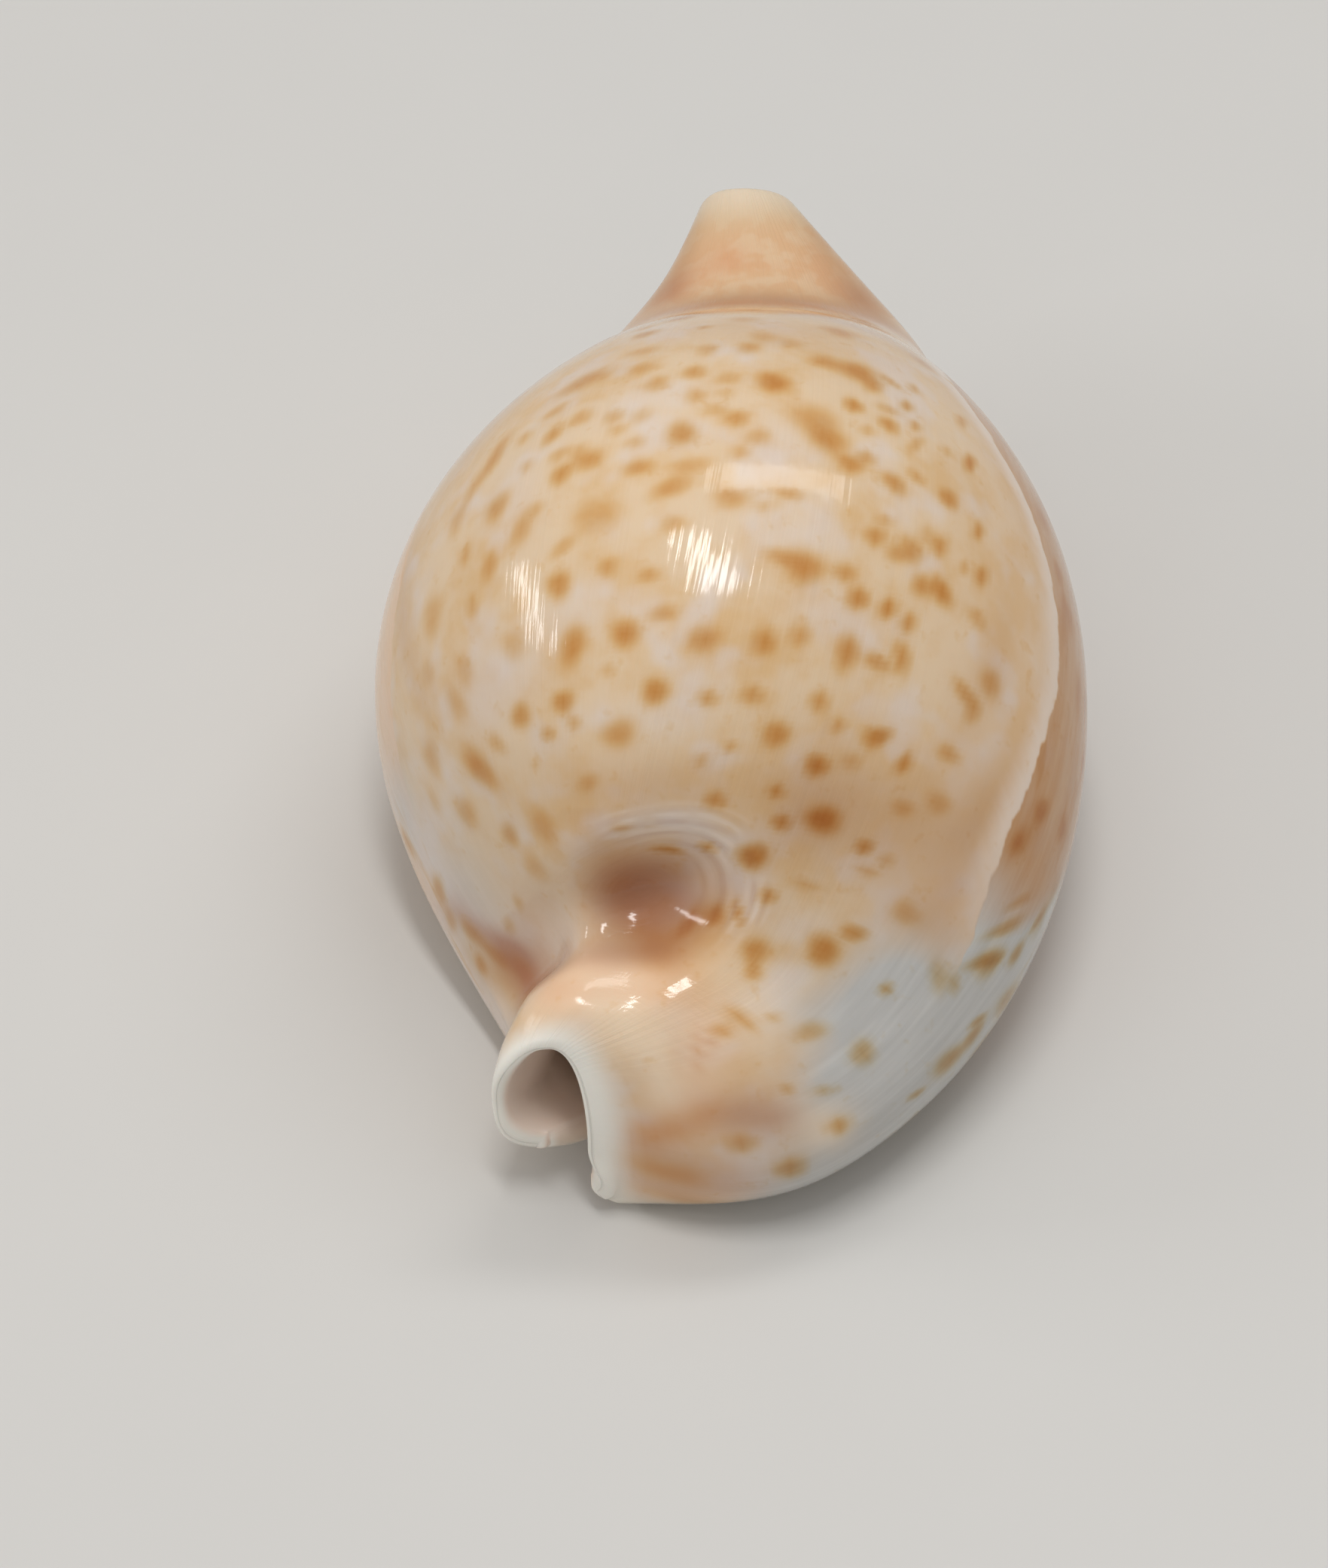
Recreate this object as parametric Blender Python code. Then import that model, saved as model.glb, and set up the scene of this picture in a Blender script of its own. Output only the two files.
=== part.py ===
"""A beaked cowrie shell: one hollow body with a toothed slit along its flat base."""
import bpy
import numpy as np

MM = 0.001

# The shell is skinned over ribs. Every rail below gives one point per rib, in millimetres,
# from the posterior mouth (-Y, the spire end) to the tip of the anterior beak (+Y).
# x runs to the outer-lip side, y along the shell, z up from the table.
STATIONS = [0.0, 0.6, 1.3, 2.2, 3.2, 4.4, 5.8, 7.2, 8.6, 9.9, 11.0, 12.0, 12.9, 13.6]

# top line: canal roof, saddle, steep rise to the hump, neck valley, upturned beak
CROWN = [
    (-13.4, -41.1, 20.6), (-11.6, -39.5, 22.2), (-9.2, -37.2, 23.6), (-7.8, -35.0, 25.0),
    (-7.0, -31.6, 31.2), (-5.2, -26.5, 39.5), (-2.5, -16.0, 47.5), (-0.5, -3.0, 50.5),
    (0.7, 10.0, 47.0), (1.8, 20.5, 39.3), (2.5, 29.0, 30.3), (2.5, 36.5, 23.3),
    (2.2, 43.5, 22.3), (1.0, 50.2, 23.3),
]
# widest line on the outer-lip side
RIGHT = [
    (-8.2, -44.1, 8.0), (-1.8, -45.8, 7.4), (5.7, -45.4, 8.0), (13.8, -40.8, 10.0),
    (20.8, -33.2, 12.0), (26.5, -23.0, 15.0), (29.5, -10.5, 17.0), (29.4, 2.0, 17.0),
    (26.4, 13.5, 16.0), (21.8, 23.5, 15.0), (18.9, 31.5, 14.0), (16.3, 38.5, 14.5),
    (11.1, 45.2, 16.4), (5.5, 51.2, 18.8),
]
# widest line on the inner-lip side
LEFT = [
    (-18.5, -41.0, 12.6), (-18.0, -38.8, 12.0), (-17.0, -35.4, 9.5), (-17.8, -30.4, 7.5),
    (-21.3, -24.4, 9.5), (-26.1, -17.0, 14.5), (-29.4, -7.5, 18.0), (-28.7, 3.0, 18.5),
    (-24.3, 13.5, 17.5), (-17.9, 23.5, 16.0), (-13.7, 31.5, 15.0), (-10.7, 38.5, 15.0),
    (-6.5, 45.2, 16.4), (-3.6, 51.2, 18.8),
]
# lowest line of the outer lip and of the inner lip, either side of the slit
OUTER_LIP = [
    (-9.3, -43.7, 1.9), (-7.8, -43.2, 0.6), (-6.2, -41.0, 0.0), (-4.8, -37.4, -0.3),
    (-3.0, -31.8, -0.6), (-0.8, -24.0, -0.8), (1.2, -13.5, -0.8), (2.7, -1.0, -0.8),
    (4.0, 11.5, -0.6), (5.2, 22.5, 0.2), (6.0, 30.5, 2.2), (6.2, 37.5, 4.9),
    (5.6, 45.0, 8.8), (4.2, 51.4, 13.4),
]
INNER_LIP = [
    (-15.3, -41.0, 5.4), (-14.0, -39.9, 4.2), (-12.1, -38.2, 2.7), (-10.3, -35.4, 1.3),
    (-8.7, -30.0, 0.2), (-7.1, -22.8, -0.5), (-5.6, -13.0, -0.8), (-4.3, -0.5, -0.8),
    (-3.0, 11.5, -0.6), (-2.0, 22.5, 0.2), (-1.6, 30.5, 2.2), (-1.7, 37.5, 4.9),
    (-1.8, 45.0, 8.8), (-1.2, 51.4, 13.4),
]
# the room inside: its roof and its two sides
ROOM_TOP = [
    (-13.4, -40.8, 19.2), (-12.3, -39.3, 19.0), (-11.0, -37.0, 16.8), (-9.4, -33.0, 13.4),
    (-6.6, -26.4, 15.8), (-4.6, -19.8, 30.4), (-2.2, -12.6, 44.4), (-0.5, -2.4, 48.4),
    (0.7, 9.2, 45.1), (1.8, 19.3, 37.6), (2.5, 27.8, 28.4), (2.5, 36.3, 21.2),
    (2.2, 43.5, 20.2), (1.0, 50.2, 21.4),
]
ROOM_RIGHT = [
    (-10.4, -42.7, 8.6), (-9.3, -40.9, 8.4), (-7.6, -38.4, 8.2), (-4.0, -34.8, 8.8),
    (8.5, -29.0, 11.0), (21.6, -20.8, 14.7), (26.9, -9.8, 17.0), (27.0, 2.0, 17.0),
    (24.1, 13.1, 16.0), (19.5, 22.9, 15.1), (16.5, 31.0, 14.4), (13.8, 38.3, 14.7),
    (8.9, 45.1, 16.3), (3.8, 51.2, 18.6),
]
ROOM_LEFT = [
    (-17.2, -41.0, 12.4), (-16.0, -39.0, 11.2), (-14.2, -36.0, 9.2), (-13.5, -31.0, 8.3),
    (-16.6, -24.2, 9.9), (-23.0, -16.4, 14.6), (-26.9, -7.1, 18.0), (-26.3, 3.0, 18.4),
    (-21.9, 13.2, 17.2), (-15.5, 23.0, 15.9), (-11.0, 31.2, 15.0), (-8.2, 38.3, 15.1),
    (-4.4, 45.1, 16.4), (-1.9, 51.2, 18.6),
]
# floor thickness at the outer lip, at the inner lip, and the rounding of both lips
LIPS = [
    (2.8, 2.8, 1.4), (3.4, 4.0, 1.6), (3.8, 5.0, 1.8), (4.0, 5.2, 2.0), (3.8, 4.2, 2.1),
    (3.8, 3.8, 2.2), (3.8, 3.8, 2.2), (3.8, 3.8, 2.2), (3.8, 3.8, 2.2), (3.8, 3.8, 2.2),
    (3.7, 3.7, 2.1), (3.6, 3.6, 2.0), (3.2, 3.2, 1.6), (2.6, 2.6, 1.2),
]
# roundness of the four quarters (2 is an ellipse, more is boxier) and of the room's left roof
ROUNDNESS = [
    (2.6, 2.2, 2.2, 2.4, 1.7), (2.6, 2.2, 2.5, 2.4, 1.8), (2.6, 2.1, 2.7, 2.3, 2.1),
    (2.6, 2.0, 1.2, 2.3, 2.2), (2.6, 2.0, 1.5, 2.4, 2.2), (2.5, 2.0, 2.0, 2.4, 2.2),
    (2.5, 2.0, 2.0, 2.4, 2.2), (2.5, 2.0, 2.0, 2.4, 2.2), (2.5, 2.0, 2.0, 2.4, 2.2),
    (2.4, 2.0, 2.0, 2.3, 2.2), (2.3, 2.0, 2.0, 2.2, 2.2), (2.2, 2.1, 2.1, 2.2, 2.2),
    (2.1, 2.1, 2.1, 2.1, 2.2), (2.0, 2.3, 2.3, 2.0, 2.3),
]

# the spire pit above the canal
PIT_CENTRE = (-6.5, -33.1, 27.4)
PIT_AXIS = (0.05, -0.80, 0.60)
PIT_LONG_WAY = (-0.86, -0.20, -0.45)
PIT_LONG_RADIUS = 11.6
PIT_SHORT_RADIUS = 8.4
PIT_DEPTH = 5.3

TEETH = 24             # ridges along each lip
TOOTH_DEPTH = 0.55     # depth of the grooves between them
TOOTH_RUN = 3.8        # how far a groove runs out over the base
TEETH_FROM = 0.075     # share of the slit's length where they start
TEETH_TO = 0.89
REAR_RIM = 1.5         # rounding of the rim of the posterior mouth
FRONT_RIM = 1.1
RIM_STEPS = 2
SLIT_PULL = 5.5        # distance over which the rim's heading turns away from the slit's
SLIT_SHARE = 0.3       # share of the rim's rounding that is left at the slit's corners
CENTRE = (0.1, 3.05)  # middle of the shell's own footprint box in the numbers above

LOWER = np.array([1.0, 0.90, 0.80, 0.62, 0.42, 0.20]) * np.pi / 2        # lip to flank
UPPER = np.array([0.0, 0.17, 0.34, 0.51, 0.67, 0.81, 0.93]) * np.pi / 2  # flank to crown


def unit(v):
    return v / np.linalg.norm(v, axis=-1, keepdims=True)


def spline(values, at):
    """Natural cubic through one value per station, read at the given places."""
    x = np.array(STATIONS)
    y = np.array(values)
    n = len(x)
    gap = np.diff(x)
    matrix = np.eye(n)
    known = np.zeros(y.shape)
    for i in range(1, n - 1):
        matrix[i, i - 1:i + 2] = gap[i - 1], 2 * (gap[i - 1] + gap[i]), gap[i]
        known[i] = 6 * ((y[i + 1] - y[i]) / gap[i] - (y[i] - y[i - 1]) / gap[i - 1])
    bend = np.linalg.solve(matrix, known)
    k = np.clip(np.searchsorted(x, at, side="right") - 1, 0, n - 2)
    d = (at - x[k])[:, None]
    h = gap[k][:, None]
    slope = (y[k + 1] - y[k]) / h - h * (2 * bend[k] + bend[k + 1]) / 6
    return y[k] + slope * d + bend[k] / 2 * d ** 2 + (bend[k + 1] - bend[k]) / (6 * h) * d ** 3


def quarter(side, end, power, angle):
    """Superellipse from a flank (angle 0) to a crown or a lip (angle 90 degrees)."""
    sine = np.sin(angle)[None]
    cosine = np.cos(angle)[None]
    power = power[:, None] + (2.1 - power[:, None]) * sine ** 8
    reach = (np.abs(cosine) ** power + sine ** power) ** (-1 / power)
    across = (cosine * reach)[..., None]
    rise = (sine * reach)[..., None]
    mix = np.concatenate([across, 1 - rise ** 2, 1 - rise], -1)
    return end[:, None] + (side - end)[:, None] * mix


def around(right, left, crown, lip_right, lip_left, powers):
    """From the outer lip over the flank, crown and other flank to the inner lip."""
    return np.concatenate([
        quarter(right, lip_right, powers[0], LOWER),
        quarter(right, crown, powers[1], UPPER),
        quarter(left, crown, powers[2], np.append(np.pi / 2, UPPER[:0:-1])),
        quarter(left, lip_left, powers[3], np.append(0.0, LOWER[::-1])),
    ], 1)


def sink_pit(p):
    """Presses the oval spire pit into the outside."""
    axis = unit(np.array(PIT_AXIS))
    long_way = np.array(PIT_LONG_WAY)
    long_way = unit(long_way - axis * (long_way @ axis))
    short_way = np.cross(axis, long_way)
    d = p - np.array(PIT_CENTRE)
    r2 = (d @ long_way / PIT_LONG_RADIUS) ** 2 + (d @ short_way / PIT_SHORT_RADIUS) ** 2
    near = (r2 < 1) & (np.abs(d @ axis) < 14)
    press = np.where(near, (1 - np.minimum(r2, 1)) ** 3, 0)
    return p - PIT_DEPTH * press[..., None] * axis


def lip_and_wall(lip, into, floor, rounding, groove):
    """The rounded lip edge and the foot of the slit wall above it."""
    up = np.array([0.0, 0.0, 1.0])
    points = []
    for angle in (np.pi / 4, np.pi / 2):
        way = into * np.sin(angle) - up * np.cos(angle)
        points.append(lip + up * rounding + way * (rounding - groove))
    return np.stack(points, 1)


def ribs(at, groove):
    """Every rib as one closed loop: outside, inner lip, room, outer lip."""
    crown, right, left = spline(CROWN, at), spline(RIGHT, at), spline(LEFT, at)
    outer_lip, inner_lip = spline(OUTER_LIP, at), spline(INNER_LIP, at)
    room_top, room_right, room_left = spline(ROOM_TOP, at), spline(ROOM_RIGHT, at), spline(ROOM_LEFT, at)
    lips = spline(LIPS, at)
    powers = spline(ROUNDNESS, at).T
    outside = sink_pit(around(right, left, crown, outer_lip, inner_lip, powers))
    outside[..., 2] = np.maximum(outside[..., 2], 0)
    outer_lip[:, 2] = np.maximum(outer_lip[:, 2], 0)
    inner_lip[:, 2] = np.maximum(inner_lip[:, 2], 0)
    for edge in (outer_lip, inner_lip):
        away = np.linalg.norm(outside - edge[:, None], axis=-1)
        outside[..., 2] += groove * np.maximum(1 - away / TOOTH_RUN, 0)
    across = inner_lip - outer_lip
    across[:, 2] = 0
    across = unit(across)
    up = np.array([0.0, 0.0, 1.0])
    rounding = lips[:, 2:3]
    floor_right = outer_lip + across * rounding + up * lips[:, 0:1]
    floor_left = inner_lip - across * rounding + up * lips[:, 1:2]
    room_right[:, 2] = np.maximum(room_right[:, 2], floor_right[:, 2] + 1.5)
    room_left[:, 2] = np.maximum(room_left[:, 2], floor_left[:, 2] + 1.5)
    plain = np.full(len(at), 2.2)
    room = around(room_right, room_left, room_top, floor_right, floor_left, (plain, plain, powers[4], plain))
    left_lip = lip_and_wall(inner_lip, -across, lips[:, 1:2], rounding, groove)
    right_lip = lip_and_wall(outer_lip, across, lips[:, 0:1], rounding, groove)
    return np.concatenate([outside, left_lip, room[:, ::-1], right_lip[:, ::-1]], 1)


def rim(loop, following, n, m, reach, turn):
    """Rows that round the end of the wall, and the wall's middle line that closes them."""
    outer, inner = loop[:n], loop[n + m:2 * n + m][::-1]
    gap = outer[-1] - outer[0]
    along_slit = unit(np.array([-gap[1], gap[0], 0.0])) * turn
    # near the slit the rim heads along the slit, elsewhere on from the surface it ends
    middle = (outer + inner) / 2
    from_slit = [np.linalg.norm(middle - middle[k], axis=-1, keepdims=True) for k in (0, -1)]
    pull = np.maximum(1 - np.minimum(*from_slit) / SLIT_PULL, 0)
    pull = pull * pull * (3 - 2 * pull)
    way_outer = unit(unit(outer - following[:n]) * (1 - pull) + along_slit * pull)
    way_inner = unit(inner - following[n + m:2 * n + m][::-1])
    way_inner = unit(way_inner * (1 - pull) + along_slit * pull)
    way = unit(way_outer + way_inner)
    radius = np.minimum(np.linalg.norm(outer - inner, axis=-1) / 2, reach)[:, None]
    radius = radius * (1 - (1 - SLIT_SHARE) * pull)
    end = np.tile(along_slit, (m, 1))
    own = np.concatenate([way_outer, end, way_inner[::-1], end])
    owner = np.concatenate([np.arange(n), np.full(m, n - 1), np.arange(n)[::-1], np.zeros(m, int)])
    rows = []
    for angle in np.linspace(0, np.pi / 2, RIM_STEPS + 2)[1:-1]:
        heading = unit(own * np.cos(angle) + way[owner] * np.sin(angle))
        row = middle[owner] + (loop - middle[owner]) * np.cos(angle)
        rows.append(row + heading * radius[owner] * np.sin(angle))
    return rows, middle + way * radius, owner


def build_shell():
    fine = np.linspace(STATIONS[0], STATIONS[-1], 400)
    path = spline(OUTER_LIP, fine) + spline(INNER_LIP, fine)
    run = np.append(0, np.cumsum(np.linalg.norm(np.diff(path, axis=0), axis=-1)))
    toothed = np.linspace(TEETH_FROM, TEETH_TO, 3 * TEETH + 1)
    share = np.concatenate([
        np.linspace(0, TEETH_FROM, 5)[:-1], toothed, np.linspace(TEETH_TO, 1, 5)[1:],
    ])
    at = np.interp(share, run / run[-1], fine)
    groove = np.zeros((len(at), 1))
    groove[4:4 + len(toothed):3] = TOOTH_DEPTH
    loops = ribs(at, groove)
    n = 2 * (len(LOWER) + len(UPPER)) + 1
    m = 2
    rear, rear_middle, owner = rim(loops[0], loops[1], n, m, REAR_RIM, 1)
    front, front_middle, owner = rim(loops[-1], loops[-2], n, m, FRONT_RIM, -1)
    rows = np.array(rear[::-1] + list(loops) + front)
    count, ring = rows.shape[:2]
    verts = np.concatenate([rows.reshape(-1, 3), rear_middle, front_middle])
    verts[:, 0] -= CENTRE[0]
    verts[:, 1] -= CENTRE[1]
    faces = []
    for i in range(count - 1):
        for j in range(ring):
            k = (j + 1) % ring
            faces.append((i * ring + k, i * ring + j, (i + 1) * ring + j, (i + 1) * ring + k))
    last = (count - 1) * ring
    rear_first = count * ring
    front_first = rear_first + n
    for j in range(ring):
        k = (j + 1) % ring
        a, b = owner[j], owner[k]
        if a == b:
            faces.append((j, k, rear_first + a))
            faces.append((last + k, last + j, front_first + a))
        else:
            faces.append((j, k, rear_first + b, rear_first + a))
            faces.append((last + k, last + j, front_first + a, front_first + b))
    mesh = bpy.data.meshes.new("shell")
    mesh.from_pydata([tuple(v) for v in verts * MM], [], faces)
    mesh.update()
    for polygon in mesh.polygons:
        polygon.use_smooth = True
    shell = bpy.data.objects.new("shell", mesh)
    bpy.context.scene.collection.objects.link(shell)
    return shell


for old in list(bpy.data.objects):
    bpy.data.objects.remove(old, do_unlink=True)

shell = build_shell()
material = bpy.data.materials.new("cowrie_shell")
material.use_nodes = True
shader = material.node_tree.nodes["Principled BSDF"]
shader.inputs["Base Color"].default_value = (0.72, 0.53, 0.36, 1.0)
shader.inputs["Roughness"].default_value = 0.18
shell.data.materials.append(material)
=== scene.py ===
from math import cos, pi, radians, sin

import bpy
import numpy as np
from mathutils import Matrix, Vector


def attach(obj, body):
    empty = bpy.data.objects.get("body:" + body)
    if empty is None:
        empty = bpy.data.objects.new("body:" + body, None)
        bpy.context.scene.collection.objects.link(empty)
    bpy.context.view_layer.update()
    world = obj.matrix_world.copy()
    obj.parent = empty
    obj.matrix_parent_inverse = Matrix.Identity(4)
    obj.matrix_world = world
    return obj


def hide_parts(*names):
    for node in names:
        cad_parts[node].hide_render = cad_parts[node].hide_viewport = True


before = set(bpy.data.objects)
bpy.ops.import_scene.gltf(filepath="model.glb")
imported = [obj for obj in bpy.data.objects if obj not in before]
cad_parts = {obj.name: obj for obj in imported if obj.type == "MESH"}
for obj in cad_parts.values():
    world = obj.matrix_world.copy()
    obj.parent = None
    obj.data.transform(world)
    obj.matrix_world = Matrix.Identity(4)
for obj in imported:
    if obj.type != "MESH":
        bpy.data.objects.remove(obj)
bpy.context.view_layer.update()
mm = 0.001
print("frame loaded")


# Rails in millimetres, one point per station, from the posterior mouth (-y) to the beak's tip (+y).
# x runs to the outer-lip side, z up from the table.
shellForm = {
    "stations": [0.0, 0.6, 1.3, 2.2, 3.2, 4.4, 5.8, 7.2, 8.6, 9.9, 11.0, 12.0, 12.9, 13.6],
    "crown": [
        (-13.4, -41.1, 20.6), (-11.6, -39.5, 22.2), (-9.2, -37.2, 23.6), (-7.8, -35.0, 25.0),
        (-7.0, -31.6, 31.2), (-5.2, -26.5, 39.5), (-2.5, -16.0, 47.5), (-0.5, -3.0, 50.5),
        (0.7, 10.0, 47.0), (1.8, 20.5, 39.3), (2.5, 29.0, 30.3), (2.5, 36.5, 23.3),
        (2.2, 43.5, 22.3), (1.0, 50.2, 23.3),
    ],
    "rightFlank": [
        (-8.2, -44.1, 8.0), (-1.8, -45.8, 7.4), (5.7, -45.4, 8.0), (13.8, -40.8, 10.0),
        (20.8, -33.2, 12.0), (26.5, -23.0, 15.0), (29.5, -10.5, 17.0), (29.4, 2.0, 17.0),
        (26.4, 13.5, 16.0), (21.8, 23.5, 15.0), (18.9, 31.5, 14.0), (16.3, 38.5, 14.5),
        (11.1, 45.2, 16.4), (5.5, 51.2, 18.8),
    ],
    "leftFlank": [
        (-18.5, -41.0, 12.6), (-18.0, -38.8, 12.0), (-17.0, -35.4, 9.5), (-17.8, -30.4, 7.5),
        (-21.3, -24.4, 9.5), (-26.1, -17.0, 14.5), (-29.4, -7.5, 18.0), (-28.7, 3.0, 18.5),
        (-24.3, 13.5, 17.5), (-17.9, 23.5, 16.0), (-13.7, 31.5, 15.0), (-10.7, 38.5, 15.0),
        (-6.5, 45.2, 16.4), (-3.6, 51.2, 18.8),
    ],
    "outerLip": [
        (-9.3, -43.7, 1.9), (-7.8, -43.2, 0.6), (-6.2, -41.0, 0.0), (-4.8, -37.4, -0.3),
        (-3.0, -31.8, -0.6), (-0.8, -24.0, -0.8), (1.2, -13.5, -0.8), (2.7, -1.0, -0.8),
        (4.0, 11.5, -0.6), (5.2, 22.5, 0.2), (6.0, 30.5, 2.2), (6.2, 37.5, 4.9),
        (5.6, 45.0, 8.8), (4.2, 51.4, 13.4),
    ],
    "innerLip": [
        (-15.3, -41.0, 5.4), (-14.0, -39.9, 4.2), (-12.1, -38.2, 2.7), (-10.3, -35.4, 1.3),
        (-8.7, -30.0, 0.2), (-7.1, -22.8, -0.5), (-5.6, -13.0, -0.8), (-4.3, -0.5, -0.8),
        (-3.0, 11.5, -0.6), (-2.0, 22.5, 0.2), (-1.6, 30.5, 2.2), (-1.7, 37.5, 4.9),
        (-1.8, 45.0, 8.8), (-1.2, 51.4, 13.4),
    ],
    "roomTop": [
        (-13.4, -40.8, 19.2), (-12.3, -39.3, 19.0), (-11.0, -37.0, 16.8), (-9.4, -33.0, 13.4),
        (-6.6, -26.4, 15.8), (-4.6, -19.8, 30.4), (-2.2, -12.6, 44.4), (-0.5, -2.4, 48.4),
        (0.7, 9.2, 45.1), (1.8, 19.3, 37.6), (2.5, 27.8, 28.4), (2.5, 36.3, 21.2),
        (2.2, 43.5, 20.2), (1.0, 50.2, 21.4),
    ],
    "roomRight": [
        (-10.4, -42.7, 8.6), (-9.3, -40.9, 8.4), (-7.6, -38.4, 8.2), (-4.0, -34.8, 8.8),
        (8.5, -29.0, 11.0), (21.6, -20.8, 14.7), (26.9, -9.8, 17.0), (27.0, 2.0, 17.0),
        (24.1, 13.1, 16.0), (19.5, 22.9, 15.1), (16.5, 31.0, 14.4), (13.8, 38.3, 14.7),
        (8.9, 45.1, 16.3), (3.8, 51.2, 18.6),
    ],
    "roomLeft": [
        (-17.2, -41.0, 12.4), (-16.0, -39.0, 11.2), (-14.2, -36.0, 9.2), (-13.5, -31.0, 8.3),
        (-16.6, -24.2, 9.9), (-23.0, -16.4, 14.6), (-26.9, -7.1, 18.0), (-26.3, 3.0, 18.4),
        (-21.9, 13.2, 17.2), (-15.5, 23.0, 15.9), (-11.0, 31.2, 15.0), (-8.2, 38.3, 15.1),
        (-4.4, 45.1, 16.4), (-1.9, 51.2, 18.6),
    ],
    # floor thickness at the outer lip, at the inner lip, and the rounding of both lips
    "lips": [
        (2.8, 2.8, 1.4), (3.4, 4.0, 1.6), (3.8, 5.0, 1.8), (4.0, 5.2, 2.0), (3.8, 4.2, 2.1),
        (3.8, 3.8, 2.2), (3.8, 3.8, 2.2), (3.8, 3.8, 2.2), (3.8, 3.8, 2.2), (3.8, 3.8, 2.2),
        (3.7, 3.7, 2.1), (3.6, 3.6, 2.0), (3.2, 3.2, 1.6), (2.6, 2.6, 1.2),
    ],
    # roundness of the four quarters (2 is an ellipse, more is boxier) and of the room's left roof
    "roundness": [
        (2.6, 2.2, 2.2, 2.4, 1.7), (2.6, 2.2, 2.5, 2.4, 1.8), (2.6, 2.1, 2.7, 2.3, 2.1),
        (2.6, 2.0, 1.2, 2.3, 2.2), (2.6, 2.0, 1.5, 2.4, 2.2), (2.5, 2.0, 2.0, 2.4, 2.2),
        (2.5, 2.0, 2.0, 2.4, 2.2), (2.5, 2.0, 2.0, 2.4, 2.2), (2.5, 2.0, 2.0, 2.4, 2.2),
        (2.4, 2.0, 2.0, 2.3, 2.2), (2.3, 2.0, 2.0, 2.2, 2.2), (2.2, 2.1, 2.1, 2.2, 2.2),
        (2.1, 2.1, 2.1, 2.1, 2.2), (2.0, 2.3, 2.3, 2.0, 2.3),
    ],
    # every quarter's power eases to this one near its end, so that no crease is left along it
    "softEnd": {"power": 2.1, "onset": 8},
    "room": {"headroom": 1.5, "roundness": 2.2},
    "centre": (0.1, 3.05),  # middle of the footprint in the numbers above
    "pit": {"centre": (-6.5, -33.1, 27.4), "axis": (0.05, -0.80, 0.60), "longWay": (-0.86, -0.20, -0.45),
            "longRadius": 11.6, "shortRadius": 8.4, "halfHeight": 14, "depth": 5.3},
    "teeth": {"count": 24, "depth": 0.62, "run": 3.8, "first": 0.075, "last": 0.89, "sharpness": 1.5},
    "rims": {"rear": 1.5, "front": 1.1, "steps": 5, "slitPull": 5.5, "slitShare": 0.3},
}
# how finely the surface is woven: rows along the shell, columns round it, and the power that crowds the lower
# columns towards the lips
weave = {
    "rowsPerTooth": 11, "endRows": 22, "pathSteps": 600, "lowerSteps": 35, "crowding": 1.25, "upperSteps": 75,
    "roomEvery": 5, "lipSteps": 6,
}
upward = np.array([0.0, 0.0, 1.0])


# each vector divided by its length
def unit(v):
    return v / np.maximum(np.linalg.norm(v, axis=-1, keepdims=True), 1e-12)


# cubic pieces through one value per station, with equal slope and bend where they meet and no bend at the
# ends
def splineAt(values, at):
    x, y = np.array(shellForm["stations"]), np.array(values, float)
    n, gap = len(x), np.diff(x)
    matrix, known = np.eye(n), np.zeros(y.shape)
    for i in range(1, n - 1):
        matrix[i, i - 1:i + 2] = gap[i - 1], 2 * (gap[i - 1] + gap[i]), gap[i]
        known[i] = 6 * ((y[i + 1] - y[i]) / gap[i] - (y[i] - y[i - 1]) / gap[i - 1])
    bend = np.linalg.solve(matrix, known)
    k = np.clip(np.searchsorted(x, at, side="right") - 1, 0, n - 2)
    wide = (slice(None),) + (None,) * (y.ndim - 1)
    d, h = (at - x[k])[wide], gap[k][wide]
    slope = (y[k + 1] - y[k]) / h - h * (2 * bend[k] + bend[k + 1]) / 6
    return y[k] + slope * d + bend[k] / 2 * d ** 2 + (bend[k + 1] - bend[k]) / (6 * h) * d ** 3


# superellipse quarter: |across|^p + |rise|^p = 1 from a flank (angle 0) to a crown or lip (90 degrees),
# where the power p eases to the soft end's with the onset-th power of the sine
def quarterCurve(side, end, power, angle):
    soft = shellForm["softEnd"]
    sine, cosine = np.sin(angle)[None], np.cos(angle)[None]
    power = power[:, None] + (soft["power"] - power[:, None]) * sine ** soft["onset"]
    reach = (np.abs(cosine) ** power + sine ** power) ** (-1 / power)
    across, rise = (cosine * reach)[..., None], (sine * reach)[..., None]
    return end[:, None] + (side - end)[:, None] * np.concatenate([across, 1 - rise ** 2, 1 - rise], -1)


# four quarters end to end: outer lip, right flank, crown, left flank, inner lip
def ribCurve(right, left, crown, lipRight, lipLeft, powers, lower, upper):
    return np.concatenate([
        quarterCurve(right, lipRight, powers[0], lower),
        quarterCurve(right, crown, powers[1], upper),
        quarterCurve(left, crown, powers[2], np.append(pi / 2, upper[:0:-1])),
        quarterCurve(left, lipLeft, powers[3], np.append(0.0, lower[::-1])),
    ], 1)


# distance from the pit's axis in units of its oval, and the axis itself
def pitReach(points):
    pit = shellForm["pit"]
    axis = unit(np.array(pit["axis"]))
    longWay = np.array(pit["longWay"])
    longWay = unit(longWay - axis * (longWay @ axis))
    d = points - np.array(pit["centre"])
    u, v = d @ longWay / pit["longRadius"], d @ np.cross(axis, longWay) / pit["shortRadius"]
    return np.hypot(u, v), d @ axis, axis


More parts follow.
